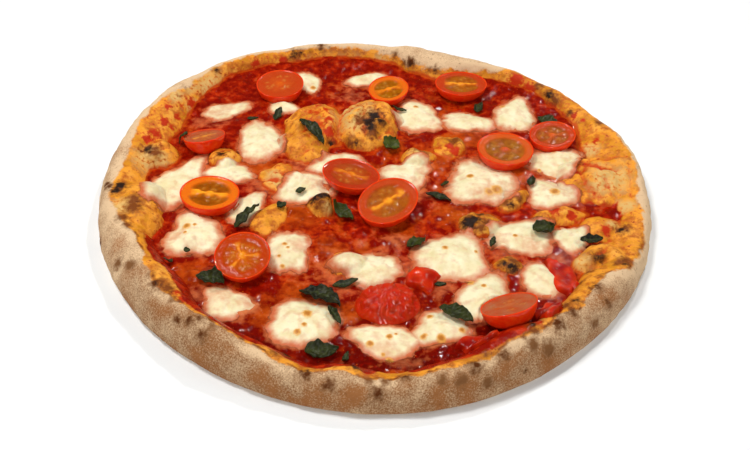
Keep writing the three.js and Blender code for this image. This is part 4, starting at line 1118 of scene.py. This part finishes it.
def tomato_points(tomato, draw):
    """Half tomato: rows run out over the cut face and down the skin, half an ellipsoid. With no
    chambers it lies on its cut face and the skin, on top, has shrunk into folds."""
    around, face_rows, skin_rows = TOMATO_GRID
    x, y, length, width, turn, rise, tilt, to, chambers = tomato[:9]
    depth = SKIN_DEPTH * width
    angle = (TURN * np.arange(around) / around)[None]
    share = (np.arange(1, face_rows + 1) / face_rows)[:, None]
    slope = (np.pi / 2 * np.arange(1, skin_rows) / skin_rows)[:, None]
    height, chamber, core, seeds = cut_face(tomato, share, angle, draw)
    waste = np.zeros((skin_rows - 1, around))
    face = stack(length * share * np.cos(angle), width * share * np.sin(angle), height)
    skin = stack(length * np.cos(slope) * np.cos(angle), width * np.cos(slope) * np.sin(angle),
                 -depth * np.sin(slope) + 0.2 * (1 - ease(slope, 0, 0.3)))
    wrinkle = 0.22 * noise(skin * [1, 1, 0.5], 5, 6) + 0.1 * noise(skin, 2, 7)
    skin = skin * (1 + wrinkle / width * ease(slope, 0.05, 0.4))[..., None]
    rows = np.concatenate([face, skin]).reshape(-1, 3)
    fields = [np.concatenate([value, waste]).ravel() for value in (chamber, core, seeds)]
    cut = np.concatenate([np.broadcast_to(1 - ease(share, 0.93, 0.985), height.shape), waste])
    local = np.concatenate([[[0, 0, 0]], rows, [[0, 0, -depth]]])
    axis = (-np.sin(np.radians(to)), np.cos(np.radians(to)), 0)
    lean = Matrix.Rotation(np.radians(tilt), 3, axis) @ Matrix.Rotation(np.radians(turn), 3, "Z")
    if not chambers:
        local = shrunken_dome(local, length, width, depth)
    points = local @ np.array(lean).T + [x, y, rise]
    points[:, 2] = np.maximum(points[:, 2], BASE + 0.5)
    fields = [np.concatenate([[value[:around].mean()], value, [0]])
              for value in (*fields, cut.ravel())]
    return points, fields, polar_faces(around, len(rows) // around)


def shrunken_dome(local, length, width, depth):
    """Turns the half over and pulls its skin into folds of two sizes, which run mostly along Y."""
    flipped = local * [1, -1, -1]
    bent = flipped + 2.2 * sideways(flipped, 8, 1)
    crease = lerp(folds(bent * [1.2, 0.8, 1], 3.6, 4), folds(bent * [1.3, 0.7, 1], 7, 3), 0.55)
    radius = np.linalg.norm(flipped / [length, width, depth], axis=1)
    pull = 1 - 0.25 * (1 - crease) * ease(radius, 0.9, 1) * ease(flipped[:, 2], 1, 6)
    return flipped * pull[:, None]


def make_tomatoes(look):
    """Cherry tomato halves, each over its own solid."""
    material = roast_cherry_tomato(look)
    draw = np.random.default_rng(5)
    for number, tomato in enumerate(TOMATOES, 1):
        points, (chamber, core, seeds, cut), faces = tomato_points(tomato, draw)
        flesh_gold, core_share, gel_gold, _, veil, cooked = tomato[9]
        opened = tomato[8] > 0
        away = np.hypot(*inside(tomato, points[:, 0], points[:, 1]))
        middle = 1 - ease(away, 0.1, 0.75)
        fields = {
            "cut": cut * opened, "chamber": chamber, "core": 0.85 * core, "seed": 0.3 * seeds,
            "stewed": cooked * (cut * (1 - 0.7 * middle) if opened else np.ones(len(points))),
            "veil": veil * cut * (0.7 + 0.5 * noise(points, 5, 3)),
            "gold": np.clip(flesh_gold + 0.7 * core_share * middle, 0, 1),
            "gel_gold": np.full(len(points), gel_gold),
        }
        new_piece(f"cherry_tomato_{number:02d}", points, faces, material,
                  f"tomato_{number:02d}", fields)


def leaf_points(leaf, thickness):
    """Leaf: a pointed oval grid, above and below, that lies on whatever is under it, bends
    sideways along its length, curls up along its midrib and is crumpled by noise."""
    rows, columns = LEAF_GRID
    curl, bend, fresh = leaf[5:8]
    along = np.linspace(-0.985, 0.985, rows + 1)[:, None]
    across = np.linspace(-1, 1, columns + 1)[None]
    width = (1 - along * along) ** 0.6 * (1 - 0.2 * along)
    ragged = 1 + 0.22 * noise(stack(5 * along, 2 * np.sign(across), leaf[0]), 1.6, 2)
    bent = 0.88 * across * width * ragged + bend * (1 - along * along) / leaf[3]
    x, y = on_piece(leaf, along + 0 * across, bent)
    nearby = LEAF_FOOTING * np.array([(0, 0), (1, 0), (-1, 0), (0, 1), (0, -1)])
    footing = np.max([topping_height(x + dx, y + dy) for dx, dy in nearby], axis=0)
    for _ in range(LEAF_PASSES):
        padded = np.pad(footing, 1, mode="edge")
        beside = padded[:-2, 1:-1] + padded[2:, 1:-1] + padded[1:-1, :-2] + padded[1:-1, 2:]
        footing = np.maximum(footing, beside / 4)
    wave = curl * (0.5 * across ** 2 + 0.35 * (1 + np.sin(4 * along + 2 * across)))
    crumple = curl * (0.7 * noise(stack(x, y, 0), 2.8, 9) + 0.3 * noise(stack(x, y, 0), 1.5, 8))
    vein = np.exp(-(across * leaf[3] / 0.35) ** 2) + 0.5 * np.exp(
        -((np.abs(across) * leaf[3] * 0.9 - along * leaf[2]) % 3 - 1.5) ** 2 / 0.12)
    z = footing + 0.9 + wave + crumple + 0.18 * vein
    upper = stack(x, y, z + thickness).reshape(-1, 3)
    lower = stack(x, y, z).reshape(-1, 3)
    green = fresh * (0.75 + 0.6 * noise(upper, 3, 4))
    fields = {"vein": np.tile(0.8 * np.clip(vein, 0, 1).ravel(), 2), "fresh": np.tile(green, 2)}
    return np.concatenate([upper, lower]), fields


def leaf_faces():
    """Faces of a leaf: the upper grid, the lower one turned over, and the edge between."""
    rows, columns = LEAF_GRID
    below = (rows + 1) * (columns + 1)
    quads, border = grid_faces(np.arange(below).reshape(rows + 1, columns + 1))
    return [quads, below + quads[:, ::-1], strip(border, below + border)]


def make_basil(look):
    """Basil leaves, each over its own solid, and one piece for all the scraps."""
    material = wilted_basil(look)
    thickness = look.thickness / MM
    faces = leaf_faces()
    for number, leaf in enumerate(BASIL, 1):
        points, fields = leaf_points(leaf, thickness)
        new_piece(f"basil_leaf_{number:02d}", points, faces, material,
                  f"basil_{number:02d}", fields)
    scraps = [leaf_points((*scrap, SCRAP_GREEN), thickness) for scrap in SCRAPS]
    points = np.concatenate([points - [0, 0, SCRAP_SINK] for points, _ in scraps])
    step = len(scraps[0][0])
    blocks = [np.concatenate([block + k * step for k in range(len(scraps))]) for block in faces]
    fields = {name: np.concatenate([own[name] for _, own in scraps]) for name in fields}
    new_piece("basil_scraps", points, blocks, material, None, fields)


# ------------------------------------------------------------------ stage

CAMERA_TARGET = (1.9, -22, 0)  # point of the pizza's plan that the view is centred on, in mm
CAMERA_ROLL = 1.5              # degrees, anticlockwise seen from behind the camera
SENSOR = 36                    # mm
LIGHT_COLOUR = (1, 0.99, 0.97)
WORLD_COLOUR = (0.92, 0.96, 1, 1)
WORLD_STRENGTH = 0.11
FLOOR_RINGS = 24               # rings of points in the floor
FLOOR_REACH = 6                # metres from its middle to its edge
FLOOR_GAP = 0.0002             # metres between the pizza and the floor
# Soft boxes: name, place and size in metres, power in watts.
LIGHTS = [
    ("key", (-0.45, 0.1, 1.1), 0.26, 8.2), ("glint", (0.35, 0.6, 0.9), 0.07, 4),
    ("front", (0.1, -1.1, 0.8), 0.32, 5.6), ("left", (-1, -0.2, 0.8), 0.5, 2.3),
    ("right", (1, -0.1, 0.8), 0.5, 2.3),
]


def aimed(location, target):
    """Rotation that points an object's -Z from a location to a target."""
    return (Vector(target) - Vector(location)).to_track_quat("-Z", "Y")


def make_camera(look):
    """Camera on the line that rises at the view's elevation from its target towards -Y."""
    target = Vector(in_frame(CAMERA_TARGET).tolist())
    elevation = look.elevation
    back = Vector((0, -np.cos(elevation), np.sin(elevation)))
    camera = bpy.data.cameras.new("camera")
    camera.lens = look.focal_length
    camera.sensor_width = SENSOR
    camera.clip_start = 0.01
    holder = bpy.data.objects.new("camera", camera)
    turned = back.to_track_quat("Z", "Y").to_matrix()
    roll = Matrix.Rotation(np.radians(CAMERA_ROLL), 3, "Z")
    holder.matrix_world = Matrix.Translation(target + back * look.distance) @ (turned @ roll).to_4x4()
    bpy.context.scene.collection.objects.link(holder)
    bpy.context.scene.camera = holder


def make_light(name, location, size, power):
    """Square soft box aimed at the middle of the pizza: metres and watts."""
    light = bpy.data.lights.new(name, "AREA")
    light.size = size
    light.energy = power
    light.color = LIGHT_COLOUR
    holder = bpy.data.objects.new(name, light)
    holder.location = location
    holder.rotation_mode = "QUATERNION"
    holder.rotation_quaternion = aimed(location, (0, 0, 0))
    bpy.context.scene.collection.objects.link(holder)


def make_floor(look):
    """Round floor just under the pizza, a bent square grid that fills the view."""
    ring, bearing, quads, _ = disc_grid(FLOOR_RINGS)
    radius = FLOOR_REACH * ring / FLOOR_RINGS
    points = stack(radius * np.cos(bearing), radius * np.sin(bearing), -FLOOR_GAP)
    mesh = bpy.data.meshes.new("floor")
    mesh.from_pydata(points.tolist(), [], quads.tolist())
    mesh.materials.append(matt_floor(look))
    floor = bpy.data.objects.new("floor", mesh)
    bpy.context.scene.collection.objects.link(floor)


def make_stage(look):
    """Pale floor, soft boxes above and in front, a pale world and the camera."""
    make_floor(look)
    for name, location, size, power in LIGHTS:
        make_light(name, location, size, power * look.brightness)
    world = bpy.data.worlds.new("pale")
    world.use_nodes = True
    background = world.node_tree.nodes["Background"]
    background.inputs["Color"].default_value = WORLD_COLOUR
    background.inputs["Strength"].default_value = WORLD_STRENGTH * look.brightness
    scene = bpy.context.scene
    scene.world = world
    scene.view_settings.view_transform = "Standard"
    make_camera(look)


# ------------------------------------------------------------------ settings

def colour(name, description, value):
    """Colour setting from an sRGB hex value."""
    return FloatVectorProperty(name=name, description=description, subtype="COLOR", min=0, max=1,
                               default=linear(value))


class DoughLook(bpy.types.PropertyGroup):
    """Relief and colours of the dough."""
    relief: FloatProperty(name="Relief", description="Height of the largest unevenness",
                          default=DOUGH_RELIEF * MM, min=0, unit="LENGTH")
    golden: colour("Golden", "Bare dough", "EE9A2C")
    ochre: colour("Ochre", "Bare dough that has ripened", "D4891C")
    baked: colour("Baked", "Bare dough where it took more heat", "B25A18")
    smeared: colour("Smeared", "Sauce smeared on the lip", "8C1002")
    # Also the painted highlight on the crests of the craggy dough.
    bright: colour("Bright", "Flecks in the bare dough", "F0A640")
    # Also painted light on the back and upper left lips.
    pale: colour("Pale", "Bare dough that stayed pale", "DCB068")
    # Also the painted shade in the hollows and creases of the bare dough.
    stained: colour("Stained", "Dough that sauce has coloured", "C44A0C")
    pulp: colour("Pulp", "Tomato pulp on the dough", "C03008")
    toasted: colour("Toasted", "Browned dough", "7C3F12")
    charred: colour("Charred", "Burnt dough", "28150B")
    # Where the white share is low, on the front of the rim, this darker colour carries painted shade.
    floured: colour("Floured", "Dough under a little flour", "9A643A")
    browned_flour: colour("Browned flour", "Flour that has browned", "7C5230")
    flour: colour("Flour", "White flour", "DEBC94")


class SauceLook(bpy.types.PropertyGroup):
    """Relief and colours of the sauce."""
    relief: FloatProperty(name="Relief", description="Height of the lumps of pulp",
                          default=SAUCE_RELIEF * MM, min=0, unit="LENGTH")
    red: colour("Red", "Sauce", "800C01")
    pulp: colour("Pulp", "Brighter pulp", "BC2806")
    # Also the painted shade towards the front and round the outside.
    deep: colour("Deep", "Sauce where it is thick", "560501")
    oil: colour("Oil", "Oily sauce", "BA4E0E")
    milk: colour("Milk", "Sauce with milk in it", "CE7446")


class CheeseLook(bpy.types.PropertyGroup):
    """Colours of the mozzarella."""
    cream: colour("Cream", "Thick cheese", "F2E8C2")
    curd: colour("Curd", "Yellower parts of it", "E2D2A0")
    thin: colour("Thin", "Thin cheese over the sauce", "E8CCA2")
    film: colour("Film", "Film of cheese over the sauce", "C8683E")
    toasted: colour("Toasted", "Rings of the browned bubbles", "E2A54E")
    scorched: colour("Scorched", "Middles of the browned bubbles", "B8742A")


class TomatoLook(bpy.types.PropertyGroup):
    """Colours of the tomatoes."""
    skin: colour("Skin", "Skin", "E82E08")
    skin_light: colour("Light skin", "Lighter skin", "EC4810")
    stewed: colour("Stewed", "Flesh and torn pieces that stewed", "920F02")
    flesh: colour("Flesh", "Flesh of a red tomato", "C23010")
    flesh_light: colour("Light flesh", "Paler fibres in the flesh", "D2561E")
    gold: colour("Golden flesh", "Flesh of a golden tomato", "EA7E12")
    gel: colour("Gel", "Gel of a red tomato", "963008")
    gel_ripe: colour("Golden gel", "Gel of a golden tomato", "A66004")
    gel_deep: colour("Deep gel", "Gel where it is thick", "844004")
    core: colour("Core", "Walls between the chambers", "F6A826")
    seed: colour("Seed", "Seeds", "D8A040")
    veil: colour("Veil", "Film of cheese over the cut", "AC6440")


class BasilLook(bpy.types.PropertyGroup):
    """Thickness and colours of the basil."""
    thickness: FloatProperty(name="Thickness", description="Thickness of a leaf",
                             default=0.6 * MM, min=0.0001, unit="LENGTH")
    dark: colour("Dark", "Wilted leaf", "14140A")
    green: colour("Green", "Greener parts", "2E2E10")
    fresh: colour("Fresh", "Leaf that stayed green", "4A540E")
    vein: colour("Vein", "Veins", "3C4420")


class StageLook(bpy.types.PropertyGroup):
    """Camera, floor and light."""
    distance: FloatProperty(name="Distance", description="From the camera to its target",
                            default=0.541, min=0.1, unit="LENGTH")
    elevation: FloatProperty(name="Elevation", description="Camera above the horizon",
                             default=float(np.radians(40.5)), unit="ROTATION")
    focal_length: FloatProperty(name="Focal length", description="Lens, in mm", default=48, min=10)
    brightness: FloatProperty(name="Brightness", description="Share of the usual light",
                              default=1, min=0)
    floor: colour("Floor", "Table top", "F4F6F7")


# ------------------------------------------------------------------ operators and panel

class PIZZA_OT_dough(bpy.types.Operator):
    """Makes the dough with its rim and blisters"""
    bl_idname = "pizza.dough"
    bl_label = "Dough"

    def execute(self, context):
        make_dough(context.scene.pizza_dough)
        return {"FINISHED"}


class PIZZA_OT_sauce(bpy.types.Operator):
    """Makes the tomato sauce"""
    bl_idname = "pizza.sauce"
    bl_label = "Sauce"

    def execute(self, context):
        make_sauce(context.scene.pizza_sauce)
        return {"FINISHED"}


class PIZZA_OT_tomatoes(bpy.types.Operator):
    """Makes the cherry tomato halves and the torn pieces of tomato"""
    bl_idname = "pizza.tomatoes"
    bl_label = "Tomatoes"

    def execute(self, context):
        make_tomatoes(context.scene.pizza_tomato)
        make_chunks()
        return {"FINISHED"}


class PIZZA_OT_cheese(bpy.types.Operator):
    """Makes the patches of melted mozzarella"""
    bl_idname = "pizza.cheese"
    bl_label = "Mozzarella"

    def execute(self, context):
        make_cheese(context.scene.pizza_cheese)
        return {"FINISHED"}


class PIZZA_OT_basil(bpy.types.Operator):
    """Makes the basil leaves and scraps"""
    bl_idname = "pizza.basil"
    bl_label = "Basil"

    def execute(self, context):
        make_basil(context.scene.pizza_basil)
        return {"FINISHED"}


class PIZZA_OT_stage(bpy.types.Operator):
    """Makes the floor, the lights and the camera"""
    bl_idname = "pizza.stage"
    bl_label = "Stage"

    def execute(self, context):
        make_stage(context.scene.pizza_stage)
        return {"FINISHED"}


OPERATORS = (PIZZA_OT_dough, PIZZA_OT_sauce, PIZZA_OT_tomatoes, PIZZA_OT_cheese, PIZZA_OT_basil,
             PIZZA_OT_stage)
LOOKS = {
    "pizza_dough": DoughLook, "pizza_sauce": SauceLook, "pizza_tomato": TomatoLook,
    "pizza_cheese": CheeseLook, "pizza_basil": BasilLook, "pizza_stage": StageLook,
}


class PIZZA_PT_pieces(bpy.types.Panel):
    """Lists the pieces of the pizza with their settings"""
    bl_idname = "PIZZA_PT_pieces"
    bl_label = "Margherita pizza"
    bl_space_type = "VIEW_3D"
    bl_region_type = "UI"
    bl_category = "Pizza"

    def draw(self, context):
        for operator, look in zip(OPERATORS, LOOKS):
            box = self.layout.box()
            box.operator(operator.bl_idname)
            for setting in LOOKS[look].__annotations__:
                box.prop(getattr(context.scene, look), setting)


CLASSES = (*LOOKS.values(), *OPERATORS, PIZZA_PT_pieces)


def register():
    """Registers the classes and hangs each group of settings on the scene."""
    for kind in CLASSES:
        bpy.utils.register_class(kind)
    for name, look in LOOKS.items():
        setattr(bpy.types.Scene, name, PointerProperty(type=look))


def unregister():
    """Takes away the settings and the classes."""
    for name in LOOKS:
        delattr(bpy.types.Scene, name)
    for kind in reversed(CLASSES):
        bpy.utils.unregister_class(kind)


def main():
    """Makes every piece in order."""
    register()
    bpy.ops.pizza.stage()
    bpy.ops.pizza.dough()
    bpy.ops.pizza.sauce()
    bpy.ops.pizza.tomatoes()
    bpy.ops.pizza.cheese()
    bpy.ops.pizza.basil()


if __name__ == "__main__":
    main()
